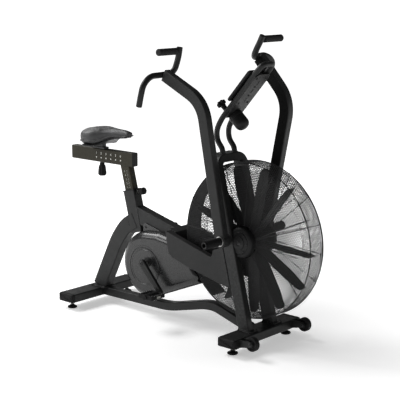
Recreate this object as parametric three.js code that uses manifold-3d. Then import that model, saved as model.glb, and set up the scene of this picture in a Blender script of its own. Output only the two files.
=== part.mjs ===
// Air bike (upright fan bike with swinging handle arms), millimetres, +Z up, +X forward, +Y to the rider's left.
import * as THREE from 'three';
import { mergeVertices } from 'three/addons/utils/BufferGeometryUtils.js';
import Module from 'manifold-3d';

const wasm = await Module();
wasm.setup();

// ---------------------------------------------------------------- driving dimensions
const OX = 407.5;                       // moves the fan centre forward so the box is centred on the origin
const GAP = 0.3;                        // clearance between touching pieces
const FAN_R = 350, FAN_Z = 473, FAN_W = 65, BAND_W = 42.7;   // cage radius, centre height, half widths
const STAB_W = 98, STAB_Z0 = 37, STAB_Z1 = 79, WALL = 3;     // stabiliser beam section
const FRONT_X = 47, FRONT_L = 238, REAR_X = -996, REAR_L = 236, CAP = 22;
const FOOT_R = 23, FOOT_Y = 190;
const WHEEL_R = 32, WHEEL_X = 156, WHEEL_Y = 187, WHEEL_Z = 68;
const LEG_IN = 68, LEG_OUT = 104, LEG_W = 62, RAKE = 0.25;   // front hoop: leg faces, width, x shift per z
const LEG_X0 = 37;                                           // leg centre at the stabiliser
const PIV_X = -49, PIV_Z = 485, ARM_Y = 152, ARM_T = 36, ARM_W = 54, T_IN = 85;
const ARM_LEFT_TURN = 22.3 * Math.PI / 180;                  // how far the left arm stands forward of the right
const CRANK_X = -580, CRANK_Z = 284, CRANK_L = 170, CRANK_ANG = -46 * Math.PI / 180;
const CHAIN_R = 76, FANP_R = 24, BELT_Y = 53, BELT_W = 10;   // drive and driven pulley radii, belt plane
const LEAN = 14.6 * Math.PI / 180;                           // seat tube lean
const POST_X = -727, POST_Z = 480;                           // a point on the seat tube axis
const RAIL_Z0 = 716, RAIL_Z1 = 783, RAIL_X0 = -1165, RAIL_X1 = -735, RAIL_Y = 19;
const CARR_X = -965;                                         // saddle carriage centre

// ---------------------------------------------------------------- helpers
function toM(geo, mat) {
  let g = geo.clone();
  if (mat) g.applyMatrix4(mat);
  g.deleteAttribute('normal'); g.deleteAttribute('uv');
  g = mergeVertices(g, 1e-4);
  const p = g.attributes.position.array, ix = g.index.array, tri = [];
  for (let i = 0; i < ix.length; i += 3) {
    if (ix[i] !== ix[i + 1] && ix[i + 1] !== ix[i + 2] && ix[i] !== ix[i + 2]) tri.push(ix[i], ix[i + 1], ix[i + 2]);
  }
  return new wasm.Manifold(new wasm.Mesh({ numProp: 3, vertProperties: new Float32Array(p), triVerts: new Uint32Array(tri) }));
}
function fromM(m) {
  const q = m.getMesh(), n = q.numProp, v = new Float32Array(q.vertProperties.length / n * 3);
  for (let i = 0, k = 0; i < q.vertProperties.length; i += n) { v[k++] = q.vertProperties[i]; v[k++] = q.vertProperties[i + 1]; v[k++] = q.vertProperties[i + 2]; }
  const g = new THREE.BufferGeometry();
  g.setAttribute('position', new THREE.BufferAttribute(v, 3));
  g.setIndex(new THREE.BufferAttribute(new Uint32Array(q.triVerts), 1));
  g.computeVertexNormals();
  return g;
}
const T = (x, y, z) => new THREE.Matrix4().makeTranslation(x, y, z);
const uni = (...a) => a.reduce((p, c) => p.add(c));
const cut = (a, ...b) => b.reduce((p, c) => p.subtract(c), a);

function box(x0, x1, y0, y1, z0, z1) {
  return toM(new THREE.BoxGeometry(x1 - x0, y1 - y0, z1 - z0), T((x0 + x1) / 2, (y0 + y1) / 2, (z0 + z1) / 2));
}
// cylinder between two points
function rod(a, b, r, seg = 20, r2 = r) {
  const A = new THREE.Vector3(...a), B = new THREE.Vector3(...b), d = B.clone().sub(A), L = d.length();
  const q = new THREE.Quaternion().setFromUnitVectors(new THREE.Vector3(0, 1, 0), d.normalize());
  const m = new THREE.Matrix4().compose(A.add(B).multiplyScalar(0.5), q, new THREE.Vector3(1, 1, 1));
  return toM(new THREE.CylinderGeometry(r2, r, L, seg), m);
}
const cylY = (x, z, r, y0, y1, seg = 24) => rod([x, y0, z], [x, y1, z], r, seg);
// polygon in the XZ plane drawn out along Y
function plate(pts, y0, y1) {
  const s = new THREE.Shape(pts.map(([x, z]) => new THREE.Vector2(x, z)));
  const g = new THREE.ExtrudeGeometry(s, { depth: y1 - y0, bevelEnabled: false, steps: 1 });
  // shape (x, y, depth) -> (x, y1 - depth, y)
  const m = new THREE.Matrix4().set(1, 0, 0, 0, 0, 0, -1, y1, 0, 1, 0, 0, 0, 0, 0, 1);
  return toM(g, m);
}
// outline of a band of width w around a centre line in the XZ plane
function band(line, w) {
  const L = [], R = [], n = line.length;
  for (let i = 0; i < n; i++) {
    const p = line[i], a = line[Math.max(0, i - 1)], b = line[Math.min(n - 1, i + 1)];
    let d1 = [p[0] - a[0], p[1] - a[1]], d2 = [b[0] - p[0], b[1] - p[1]];
    if (i === 0) d1 = d2; if (i === n - 1) d2 = d1;
    const l1 = Math.hypot(...d1), l2 = Math.hypot(...d2);
    const n1 = [-d1[1] / l1, d1[0] / l1], n2 = [-d2[1] / l2, d2[0] / l2];
    const mx = n1[0] + n2[0], mz = n1[1] + n2[1], k = 2 / (mx * mx + mz * mz);
    L.push([p[0] + mx * k * w / 2, p[1] + mz * k * w / 2]);
    R.push([p[0] - mx * k * w / 2, p[1] - mz * k * w / 2]);
  }
  return [...L, ...R.reverse()];
}
// round off the corners of an open line
function soften(line, r, n = 5) {
  const out = [line[0]];
  for (let i = 1; i < line.length - 1; i++) {
    const p = line[i], a = line[i - 1], b = line[i + 1];
    const la = Math.hypot(a[0] - p[0], a[1] - p[1]), lb = Math.hypot(b[0] - p[0], b[1] - p[1]);
    const t = Math.min(r, la * 0.45, lb * 0.45);
    const s = [p[0] + (a[0] - p[0]) / la * t, p[1] + (a[1] - p[1]) / la * t], e = [p[0] + (b[0] - p[0]) / lb * t, p[1] + (b[1] - p[1]) / lb * t];
    for (let k = 0; k <= n; k++) {
      const u = k / n;
      out.push([(1 - u) * (1 - u) * s[0] + 2 * u * (1 - u) * p[0] + u * u * e[0], (1 - u) * (1 - u) * s[1] + 2 * u * (1 - u) * p[1] + u * u * e[1]]);
    }
  }
  out.push(line[line.length - 1]);
  return out;
}
// rectangular hollow tube whose centre line lies in the XZ plane
function rectTube(line, w, y0, y1, wall = WALL, open = true) {
  const outer = plate(band(line, w), y0, y1);
  if (!open) return outer;
  const n = line.length, e = (a, b, t) => { const l = Math.hypot(b[0] - a[0], b[1] - a[1]); return [b[0] + (b[0] - a[0]) / l * t, b[1] + (b[1] - a[1]) / l * t]; };
  const inner = [e(line[1], line[0], 1), ...line.slice(1, n - 1), e(line[n - 2], line[n - 1], 1)];
  return outer.subtract(plate(band(inner, w - 2 * wall), y0 + wall, y1 - wall));
}
// round bar along a smooth 3-D curve
function bar(pts, r, steps = 24, seg = 10, closed = false) {
  const c = new THREE.CatmullRomCurve3(pts.map(p => new THREE.Vector3(...p)), closed, 'centripetal');
  const s = new THREE.Shape();
  for (let i = 0; i < seg; i++) { const a = 2 * Math.PI * i / seg; i ? s.lineTo(r * Math.cos(a), r * Math.sin(a)) : s.moveTo(r, 0); }
  s.closePath();
  return toM(new THREE.ExtrudeGeometry(s, { steps, extrudePath: c, bevelEnabled: false }));
}
// solid of revolution about a Y line through (x, z); profile is [radius, y]
function turnY(x, z, prof, seg = 32) {
  const g = new THREE.LatheGeometry(prof.map(([r, y]) => new THREE.Vector2(Math.max(r, 0), y)), seg);
  let m = toM(g, T(x, 0, z));
  if (m.volume() < 0) { const idx = g.index.array; for (let i = 0; i < idx.length; i += 3) { const t = idx[i]; idx[i] = idx[i + 1]; idx[i + 1] = t; } m = toM(g, T(x, 0, z)); }
  return m;
}
// same, about the line from p in direction d; profile is [radius, distance]
function turn(p, d, prof, seg = 24) {
  const g = new THREE.LatheGeometry(prof.map(([r, y]) => new THREE.Vector2(Math.max(r, 0), y)), seg);
  const q = new THREE.Quaternion().setFromUnitVectors(new THREE.Vector3(0, 1, 0), new THREE.Vector3(...d).normalize());
  const mat = new THREE.Matrix4().compose(new THREE.Vector3(...p), q, new THREE.Vector3(1, 1, 1));
  let m = toM(g, mat);
  if (m.volume() < 0) { const idx = g.index.array; for (let i = 0; i < idx.length; i += 3) { const t = idx[i]; idx[i] = idx[i + 1]; idx[i + 1] = t; } m = toM(g, mat); }
  return m;
}
const mirrorY = m => m.mirror([0, 1, 0]);
const rotXZ = ([x, z], [cx, cz], a) => [cx + (x - cx) * Math.cos(a) + (z - cz) * Math.sin(a), cz - (x - cx) * Math.sin(a) + (z - cz) * Math.cos(a)];

// ---------------------------------------------------------------- scene graph
const group = new THREE.Group();
group.name = 'air_bike';
const PAINT = { color: 0x2b2c2d, roughness: 0.55, metalness: 0.35 };
const PLASTIC = { color: 0x3a3b3c, roughness: 0.6, metalness: 0 };
const RUBBER = { color: 0x1d1d1e, roughness: 0.85, metalness: 0 };
const STEEL = { color: 0xa9abad, roughness: 0.35, metalness: 1 };
const OLIVE = { color: 0x3b382f, roughness: 0.5, metalness: 0.3 };
function add(name, m, mat) {
  const parts = m.decompose ? m.decompose() : [m];
  if (parts.length > 1) {
    parts.sort((a, b) => Math.abs(b.volume()) - Math.abs(a.volume()));
    if (Math.abs(parts[1].volume()) > 0.5) console.error(name, 'has', parts.length, 'bodies', parts.slice(1, 4).map(q => [q.volume(), JSON.stringify(q.boundingBox())]));
    m = parts[0];
  }
  const mesh = new THREE.Mesh(fromM(m.translate([OX, 0, 0])), new THREE.MeshStandardMaterial(mat));
  mesh.name = name;
  group.add(mesh);
}

// ---------------------------------------------------------------- stabilisers, caps and feet
function stabiliser(cx, half) {
  let m = box(cx - STAB_W / 2, cx + STAB_W / 2, -(half - CAP), half - CAP, STAB_Z0, STAB_Z1);
  m = m.subtract(box(cx - STAB_W / 2 + WALL, cx + STAB_W / 2 - WALL, -half, half, STAB_Z0 + WALL, STAB_Z1 - WALL));
  for (const s of [-1, 1]) m = m.subtract(rod([cx, s * FOOT_Y, STAB_Z0 - 5], [cx, s * FOOT_Y, STAB_Z0 + 8], 5.4, 12));
  return m;
}
function cap(cx, half, s) {
  const y0 = half - CAP + GAP, y1 = half, a = cx - STAB_W / 2, b = cx + STAB_W / 2, c = 9;
  const s1 = new THREE.Shape([[y0, STAB_Z0], [y1 - c, STAB_Z0], [y1, STAB_Z0 + c], [y1, STAB_Z1 - c], [y1 - c, STAB_Z1], [y0, STAB_Z1]].map(p => new THREE.Vector2(...p)));
  const g = new THREE.ExtrudeGeometry(s1, { depth: STAB_W, bevelEnabled: false });
  // shape (y, z, depth) -> (x = a + depth, y, z)
  let m = toM(g, new THREE.Matrix4().set(0, 0, 1, a, 1, 0, 0, 0, 0, 1, 0, 0, 0, 0, 0, 1));
  const w = 0.5, plug = box(a + WALL + w, b - WALL - w, y0 - 16, y0 + 1, STAB_Z0 + WALL + w, STAB_Z1 - WALL - w);
  m = m.add(plug.subtract(box(a + WALL + 5, b - WALL - 5, y0 - 17, y0 - 0.5, STAB_Z0 + WALL + 5, STAB_Z1 - WALL - 5)));
  return s > 0 ? m : mirrorY(m);
}
function foot(cx, y) {
  return turn([cx, y, 0], [0, 0, 1], [[0, 0], [FOOT_R - 1.5, 0], [FOOT_R, 2], [FOOT_R, 7], [FOOT_R - 6, 11], [10, 14], [10, 18], [5, 18], [5, 29], [9, 29], [9, 35.5], [5, 35.5], [5, 52], [0, 52]], 14);
}
{
  let f = stabiliser(FRONT_X, FRONT_L);
  const fx = FRONT_X + STAB_W / 2;
  for (const s of [-1, 1]) for (const t of [-1, 1]) {
    const yc = s * WHEEL_Y + t * 17;
    const lug = plate([[fx - 1, 42], [fx - 1, 77], [WHEEL_X - 2, 82], [WHEEL_X + 10, 76], [WHEEL_X + 12, 66], [WHEEL_X + 6, 57], [WHEEL_X - 6, 54]], yc - 1.5, yc + 1.5);
    f = f.add(lug);
    if (t > 0) f = f.add(cylY(WHEEL_X, WHEEL_Z, 4, s * WHEEL_Y - 17.5, s * WHEEL_Y + 17.5, 14));
  }
  add('front_stabilizer', f, PAINT);
  add('rear_stabilizer', stabiliser(REAR_X, REAR_L), PAINT);
  for (const [n, cx, h] of [['front', FRONT_X, FRONT_L], ['rear', REAR_X, REAR_L]]) {
    add(`${n}_end_cap_right`, cap(cx, h, -1), RUBBER);
    add(`${n}_end_cap_left`, cap(cx, h, 1), RUBBER);
    add(`${n}_foot_right`, foot(cx, -FOOT_Y), RUBBER);
    add(`${n}_foot_left`, foot(cx, FOOT_Y), RUBBER);
  }
  for (const [n, s] of [['right', -1], ['left', 1]]) {
    add(`transport_wheel_${n}`, turnY(WHEEL_X, WHEEL_Z, [[4.4, -12], [10, -12], [12, -9], [22, -9], [24, -12], [30, -12], [WHEEL_R, -9.5], [WHEEL_R, 9.5], [30, 12], [24, 12], [22, 9], [12, 9], [10, 12], [4.4, 12], [4.4, -12]], 18).translate([0, s * WHEEL_Y, 0]), RUBBER);
  }
}

// ---------------------------------------------------------------- seat tube, rear post, top tube
const ax = s => [POST_X - Math.sin(LEAN) * s, POST_Z + Math.cos(LEAN) * s];   // point on the seat tube axis
const sleeveOuter = (g) => plate(band([ax(-84 - g), ax(124 + g)], 74 + 2 * g), -25 - g, 25 + g);
{
  let m = sleeveOuter(0);
  m = m.subtract(plate(band([ax(-100), ax(140)], 59.2), -18.7, 18.7));
  const k = ax(108), n = [Math.cos(LEAN), Math.sin(LEAN)];      // pin hole through the front wall
  m = m.subtract(rod([k[0] + n[0] * 20, 0, k[1] + n[1] * 20], [k[0] + n[0] * 60, 0, k[1] + n[1] * 60], 5.4, 14));
  add('seat_tube', m, PAINT);

  const line = soften([[-978, 79.3], [-846, 342], [-783, 420], [-716, 458]], 46);
  add('rear_post', cut(rectTube(line, 80, -27, 27), sleeveOuter(GAP + 0.05), plate(band([[-760, 502.6], [-410, 411]], 78.8), -30, 30), box(-1100, -900, -60, 60, 20, 79.3)), PAINT);

  const tt = [[-712, 490], [-410, 411]];
  const L = Math.hypot(302, 79), nx = 79 / L, nz = 302 / L;
  let top = rectTube(tt, 78, -26, 26);
  const crown = cut(plate([[-446, 470 - 1], [-398, 457], [-374, 395], [-392, 345], [-428, 352]].map(p => p), -73.7, 73.7));
  top = cut(top, plate([[-446, 469], [-398, 457], [-374, 395], [-392, 345], [-428, 352]], -73.7, 73.7));
  top = top.add(crown.subtract(plate([[-442.3, 464.9], [-400.6, 453.6], [-377.2, 395], [-397, 340], [-423.1, 340]], -70.7, 70.7)));
  top = cut(top, sleeveOuter(GAP + 0.05), box(-470, -360, BELT_Y - BELT_W / 2 - 4, BELT_Y + BELT_W / 2 + 4, 381, 423), turnY(0, FAN_Z, [[0, -FAN_W - 1], [FAN_R + 3, -FAN_W - 1], [FAN_R + 3, FAN_W + 1], [0, FAN_W + 1]], 40));
  add('top_tube', top, PAINT);
}

// ---------------------------------------------------------------- front hoop, fork plates, link tube
const legX = z => LEG_X0 - RAKE * (z - STAB_Z1);                // leg centre line
{
  // one tube bent in the raked plane: drawn in (y, distance) then leaned back
  const H = 769, yo = LEG_OUT, yi = LEG_IN, R = 46;
  const arc = (w, top, r) => { const o = [[-w, 0]]; for (let i = 0; i <= 6; i++) { const a = Math.PI - i * Math.PI / 12; o.push([-w + r + r * Math.cos(a), top - r + r * Math.sin(a)]); } for (let i = 0; i <= 6; i++) { const a = Math.PI / 2 - i * Math.PI / 12; o.push([w - r + r * Math.cos(a), top - r + r * Math.sin(a)]); } o.push([w, 0]); return o; };
  const outline = [...arc(yo, H, R + 10), ...arc(yi, H - 36, 14).reverse()];
  const s = new THREE.Shape(outline.map(p => new THREE.Vector2(...p)));
  const g = new THREE.ExtrudeGeometry(s, { depth: LEG_W, bevelEnabled: false });
  // (y, h, depth) -> (x = legX - RAKE*h + depth - W/2, y, z = base + h)
  const m = new THREE.Matrix4().set(0, -RAKE, 1, LEG_X0 - LEG_W / 2, 1, 0, 0, 0, 0, 1, 0, STAB_Z1 + GAP, 0, 0, 0, 1);
  let hoop = toM(g, m);
  if (hoop.volume() < 0) throw new Error('hoop inside out');
  // bore of the tube, open at the feet
  const low = o => { o[0][1] = -5; o[o.length - 1][1] = -5; return o; };
  const s2 = new THREE.Shape([...low(arc(yo - WALL, H - WALL, R + 7)), ...low(arc(yi + WALL, H - 36 + WALL, 14 + WALL)).reverse()].map(p => new THREE.Vector2(...p)));
  const m2 = new THREE.Matrix4().set(0, -RAKE, 1, LEG_X0 - LEG_W / 2 + WALL, 1, 0, 0, 0, 0, 1, 0, STAB_Z1 + GAP, 0, 0, 0, 1);
  hoop = hoop.subtract(toM(new THREE.ExtrudeGeometry(s2, { depth: LEG_W - 2 * WALL, bevelEnabled: false }), m2));
  for (const t of [-1, 1]) hoop = hoop.add(cylY(PIV_X, PIV_Z, 15.2, t > 0 ? LEG_IN + 1 : 1 - LEG_OUT, t > 0 ? LEG_OUT - 1 : -LEG_IN - 1, 20));
  for (const t of [-1, 1]) hoop = hoop.subtract(cylY(PIV_X, PIV_Z, 12.4, t > 0 ? 60 : -110, t > 0 ? 110 : -60, 24));
  hoop = hoop.subtract(turnY(0, FAN_Z, [[0, -FAN_W - 0.6], [FAN_R + 2, -FAN_W - 0.6], [FAN_R + 2, FAN_W + 0.6], [0, FAN_W + 0.6]], 40));
  add('front_hoop', hoop, PAINT);

  const rear = z => legX(z) - LEG_W / 2 - GAP - 0.1;
  const prof = [[-439, 463], [-155, 384], [-146, 418], [rear(440), 440], [rear(262), 262], [-100, 268], [-149, 281], [-283, 309], [-395, 341], [-420, 360]];
  for (const [n, s] of [['right', -1], ['left', 1]]) {
    let p = plate(prof, -LEG_OUT, -(LEG_IN + 6));
    p = p.subtract(plate([[-425, 449], [-160, 375], [-140, 372], [rear(430) + 5, 400], [rear(275) + 5, 275], [-100, 278], [-149, 291], [-283, 319], [-395, 352], [-411, 366]], -LEG_OUT + 3, -LEG_IN));
    add(`fork_plate_${n}`, s < 0 ? p : mirrorY(p), PAINT);
  }
  const line = soften([[REAR_X + STAB_W / 2 + GAP, 59], [-500, 63], [-272, 119], [-212, 122], [FRONT_X - STAB_W / 2 - GAP, 60]], 60);
  add('link_tube', cut(rectTube(line, 40, -22, 22), box(FRONT_X - STAB_W / 2 - GAP, 60, -40, 40, 0, 200)), PAINT);
}

// outline of the belt loop around the two pulleys, grown by g
const belt = (g) => {
  const dx = -CRANK_X, dz = FAN_Z - CRANK_Z, D = Math.hypot(dx, dz), base = Math.atan2(dz, dx);
  const R1 = CHAIN_R + g, R2 = FANP_R + g, b = Math.acos((R1 - R2) / D), o = [];
  for (let i = 0; i <= 26; i++) { const a = base + b + (2 * Math.PI - 2 * b) * i / 26; o.push([CRANK_X + R1 * Math.cos(a), CRANK_Z + R1 * Math.sin(a)]); }
  for (let i = 0; i <= 12; i++) { const a = base - b + 2 * b * i / 12; o.push([R2 * Math.cos(a), FAN_Z + R2 * Math.sin(a)]); }
  return o;
};

// ---------------------------------------------------------------- fan cage
{
  const prof = [[70, FAN_W - 1.2], [325.4, FAN_W - 1.2], [341.9, FAN_W - 8.2], [348.8, BAND_W + 0.2], [FAN_R, BAND_W + 0.2], [343, FAN_W - 7.4], [326, FAN_W], [70, FAN_W], [70, FAN_W - 1.2]];
  const guard = turnY(0, FAN_Z, prof, 48);
  const slot = plate(belt(9), BELT_Y - 9, BELT_Y + 9);
  add('cage_guard_left', guard.subtract(slot), { ...PAINT, roughness: 0.6 });
  add('cage_guard_right', mirrorY(guard), { ...PAINT, roughness: 0.6 });
  const ring = turnY(0, FAN_Z, [[FAN_R - 2, -BAND_W + 0.2], [FAN_R, -BAND_W + 0.2], [FAN_R, BAND_W - 0.2], [FAN_R - 2, BAND_W - 0.2], [FAN_R - 2, -BAND_W + 0.2]], 48);
  const wedge = (a0, a1, y) => { const o = [[0, FAN_Z]]; for (let i = 0; i <= 8; i++) { const a = (a0 + (a1 - a0) * i / 8) * Math.PI / 180; o.push([500 * Math.cos(a), FAN_Z + 500 * Math.sin(a)]); } return plate(o, -y, y); };
  add('wind_guard', cut(ring.intersect(wedge(122, 236, 60)), slot), PLASTIC);
  add('cage_band', cut(ring.subtract(wedge(121.85, 236.15, 60)), slot), { ...PAINT, roughness: 0.6 });
}

// ---------------------------------------------------------------- fan, axle and hub brackets
{
  add('fan_axle', cylY(0, FAN_Z, 10, -99, 99, 20), STEEL);
  // hub bracket: bearing carrier bolted to the front face of the leg
  const legFront = z => legX(z) + LEG_W / 2 + GAP + 0.1;
  for (const [n, s] of [['right', -1], ['left', 1]]) {
    let h = turnY(0, FAN_Z, [[10.3, FAN_W + 1.2], [68, FAN_W + 1.2], [68, 88], [64, 95], [58, 98], [30, 98], [30, 101], [10.3, 101], [10.3, FAN_W + 1.2]], 28);
    h = h.intersect(plate([[legFront(600), 600], [200, 600], [200, 340], [legFront(340), 340]], 40, 130));
    add(`hub_bracket_${n}`, s > 0 ? h : mirrorY(h), PLASTIC);
  }
  let fan = turnY(0, FAN_Z, [[10.4, -38], [44, -38], [46, -35], [46, 35], [44, 38], [10.4, 38], [10.4, -38]], 24);
  for (let i = 0; i < 13; i++) {
    const a = (23.3 + 360 / 13 * i) * Math.PI / 180;
    const s = new THREE.Shape();
    s.moveTo(40, -26); s.lineTo(110, -37); s.lineTo(250, -39); s.lineTo(316, -29);
    for (let k = 0; k <= 4; k++) { const t = -Math.PI / 2 + k * Math.PI / 8; s.lineTo(316 + 14 * Math.cos(t), -15 + 14 * Math.sin(t)); }
    for (let k = 0; k <= 4; k++) { const t = k * Math.PI / 8; s.lineTo(316 + 14 * Math.cos(t), 15 + 14 * Math.sin(t)); }
    s.lineTo(250, 39); s.lineTo(110, 37); s.lineTo(40, 26); s.closePath();
    const g = new THREE.ExtrudeGeometry(s, { depth: 3, bevelEnabled: false });
    // shape (r, y, depth) -> radial, Y, tangential
    const ca = Math.cos(a), sa = Math.sin(a);
    const m = new THREE.Matrix4().set(ca, 0, -sa, 1.5 * sa, 0, 1, 0, 0, sa, 0, ca, FAN_Z - 1.5 * ca, 0, 0, 0, 1);
    let b = toM(g, m);
    if (b.volume() < 0) throw new Error('blade inside out');
    fan = fan.add(b);
  }
  add('fan_wheel', fan, PLASTIC);
  const pul = (x, z, r, bore, seg, y = BELT_Y) => turnY(x, z, [[bore, y - 7], [r + 2, y - 7], [r + 2, y - 5.6], [r, y - 5.6], [r, y + 5.6], [r + 2, y + 5.6], [r + 2, y + 7], [bore, y + 7], [bore, y - 7]], seg);
  add('fan_pulley', pul(0, FAN_Z, FANP_R, 10.4, 20), STEEL);
  add('crank_pulley', pul(CRANK_X, CRANK_Z, CHAIN_R, 10.4, 30), STEEL);

  add('drive_belt', plate(belt(3.2), BELT_Y - 5, BELT_Y + 5).subtract(plate(belt(0.7), BELT_Y - 6, BELT_Y + 6)), RUBBER);
}

// ---------------------------------------------------------------- cranks and pedals
{
  let bb = turnY(CRANK_X, CRANK_Z, [[10.4, -34], [24, -34], [24, 34], [10.4, 34], [10.4, -34]], 24);
  // hanger plates from the shell up to the underside of the top tube
  const under = x => 490 - (x + 712) * 79 / 302 - 39 * Math.hypot(302, 79) / 302 - GAP - 0.1;
  bb = bb.add(cut(plate([[-604, 284], [-556, 284], [-545, under(-545)], [-600, under(-600)]], -24, 24), plate([[-594, 314], [-568, 314], [-556, 374], [-592, 380]], -30, 30), cylY(CRANK_X, CRANK_Z, 10.4, -40, 40, 24)));
  add('bottom_bracket', bb, PAINT);
  add('crank_axle', cylY(CRANK_X, CRANK_Z, 10, -117, 117, 20), STEEL);
  for (const [n, s] of [['right', -1], ['left', 1]]) {
    const a = CRANK_ANG + (s > 0 ? Math.PI : 0), ex = CRANK_X + CRANK_L * Math.cos(a), ez = CRANK_Z + CRANK_L * Math.sin(a);
    const o = [], w0 = 19, w1 = 14;
    for (let i = 0; i <= 8; i++) { const t = a + Math.PI / 2 + i * Math.PI / 8; o.push([CRANK_X + w0 * Math.cos(t), CRANK_Z + w0 * Math.sin(t)]); }
    for (let i = 0; i <= 8; i++) { const t = a - Math.PI / 2 + i * Math.PI / 8; o.push([ex + w1 * Math.cos(t), ez + w1 * Math.sin(t)]); }
    let c = plate(o, -120.5, -105).subtract(cylY(CRANK_X, CRANK_Z, 10.3, -117.5, -90, 24));
    c = c.add(rod([ex, -119, ez], [ex, -222, ez], 7, 16));
    let p = cut(uni(box(-46, 46, -216, -128, -10, 10)), box(-32, -12, -204, -140, -20, 20), box(12, 32, -204, -140, -20, 20));
    p = uni(p, cut(cylY(0, 0, 13, -224, -122, 20)));
    p = cut(p, cylY(0, 0, 7.4, -223, -110, 20)).translate([ex, 0, ez]);
    if (s > 0) { c = mirrorY(c); p = mirrorY(p); }
    add(`crank_arm_${n}`, c, PAINT);
    add(`pedal_${n}`, p, RUBBER);
  }
}

// ---------------------------------------------------------------- drive shroud, two shells
{
  const cx = -600, cz = 262;
  const base = [];
  for (let i = 0; i <= 14; i++) { const a = (96 + i * 13.143) * Math.PI / 180; base.push([cx + 162 * Math.cos(a), cz + 162 * Math.sin(a)]); }
  base.push([-222, 246], [-287, 309], [-300, 380], [-440, 417], [-530, 430]);
  // inset of the closed outline, counter-clockwise
  const outline = (k) => base.map((p, i) => {
    const a = base[(i + base.length - 1) % base.length], b = base[(i + 1) % base.length];
    const l1 = Math.hypot(p[0] - a[0], p[1] - a[1]), l2 = Math.hypot(b[0] - p[0], b[1] - p[1]);
    const n1 = [-(p[1] - a[1]) / l1, (p[0] - a[0]) / l1], n2 = [-(b[1] - p[1]) / l2, (b[0] - p[0]) / l2];
    const mx = n1[0] + n2[0], mz = n1[1] + n2[1], q = 2 * k / (mx * mx + mz * mz);
    return [p[0] + mx * q, p[1] + mz * q];
  });
  const shell = () => {
    const layers = [[0, 0, 46], [9, 46, 64], [28, 64, 73.4]];
    let m = null, c = null;
    for (const [k, a, b] of layers) { const q = plate(outline(k), -b, -a + (a ? 0.5 : 0)); m = m ? m.add(q) : q; }
    for (const [k, a, b] of layers) { const q = plate(outline(k + 3), -(b - 3), -a + 1); c = c ? c.add(q) : q; }
    m = m.add(cylY(cx, 256, 92, -76.5, -60, 40));
    m = m.subtract(c);
    return m;
  };
  let m = shell().intersect(box(-900, 0, -90, -0.15, 0, 600));
  // clearance for frame members, axle, belt and cage
  const clear = [
    sleeveOuter(1), plate(band([[-995, 50], [-846, 342], [-783, 420], [-716, 458]], 82), -28, 28),
    plate(band([[-740, 497.3], [-380, 403.1]], 80), -27, 27),
    cylY(CRANK_X, CRANK_Z, 16, -100, 0, 28),
    plate([[-446, 476], [-396, 464], [-366, 395], [-382, 338], [-436, 344]], -75, 75),
    turnY(0, FAN_Z, [[0, -FAN_W - 1.2], [FAN_R + 4, -FAN_W - 1.2], [FAN_R + 4, FAN_W + 1.2], [0, FAN_W + 1.2]], 40),
  ];
  const right = cut(m, ...clear);
  const left = cut(mirrorY(m), ...clear.map(q => mirrorY(q)), plate(belt(5), BELT_Y - 8, BELT_Y + 8));
  // screw tabs that lap the sides of the top tube
  const tab = plate([[-650, 405], [-650, 452], [-640, 458], [-455, 410], [-455, 380]], -31, -27.2);
  const fx = q => cut(q, cylY(-636, 432, 3, -40, -20, 10), cylY(-470, 397, 3, -40, -20, 10));
  const tabR = fx(cut(tab, sleeveOuter(1)));
  add('shroud_right', right.add(tabR), PLASTIC);
  add('shroud_left', left.add(mirrorY(tabR)), PLASTIC);
}

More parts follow.
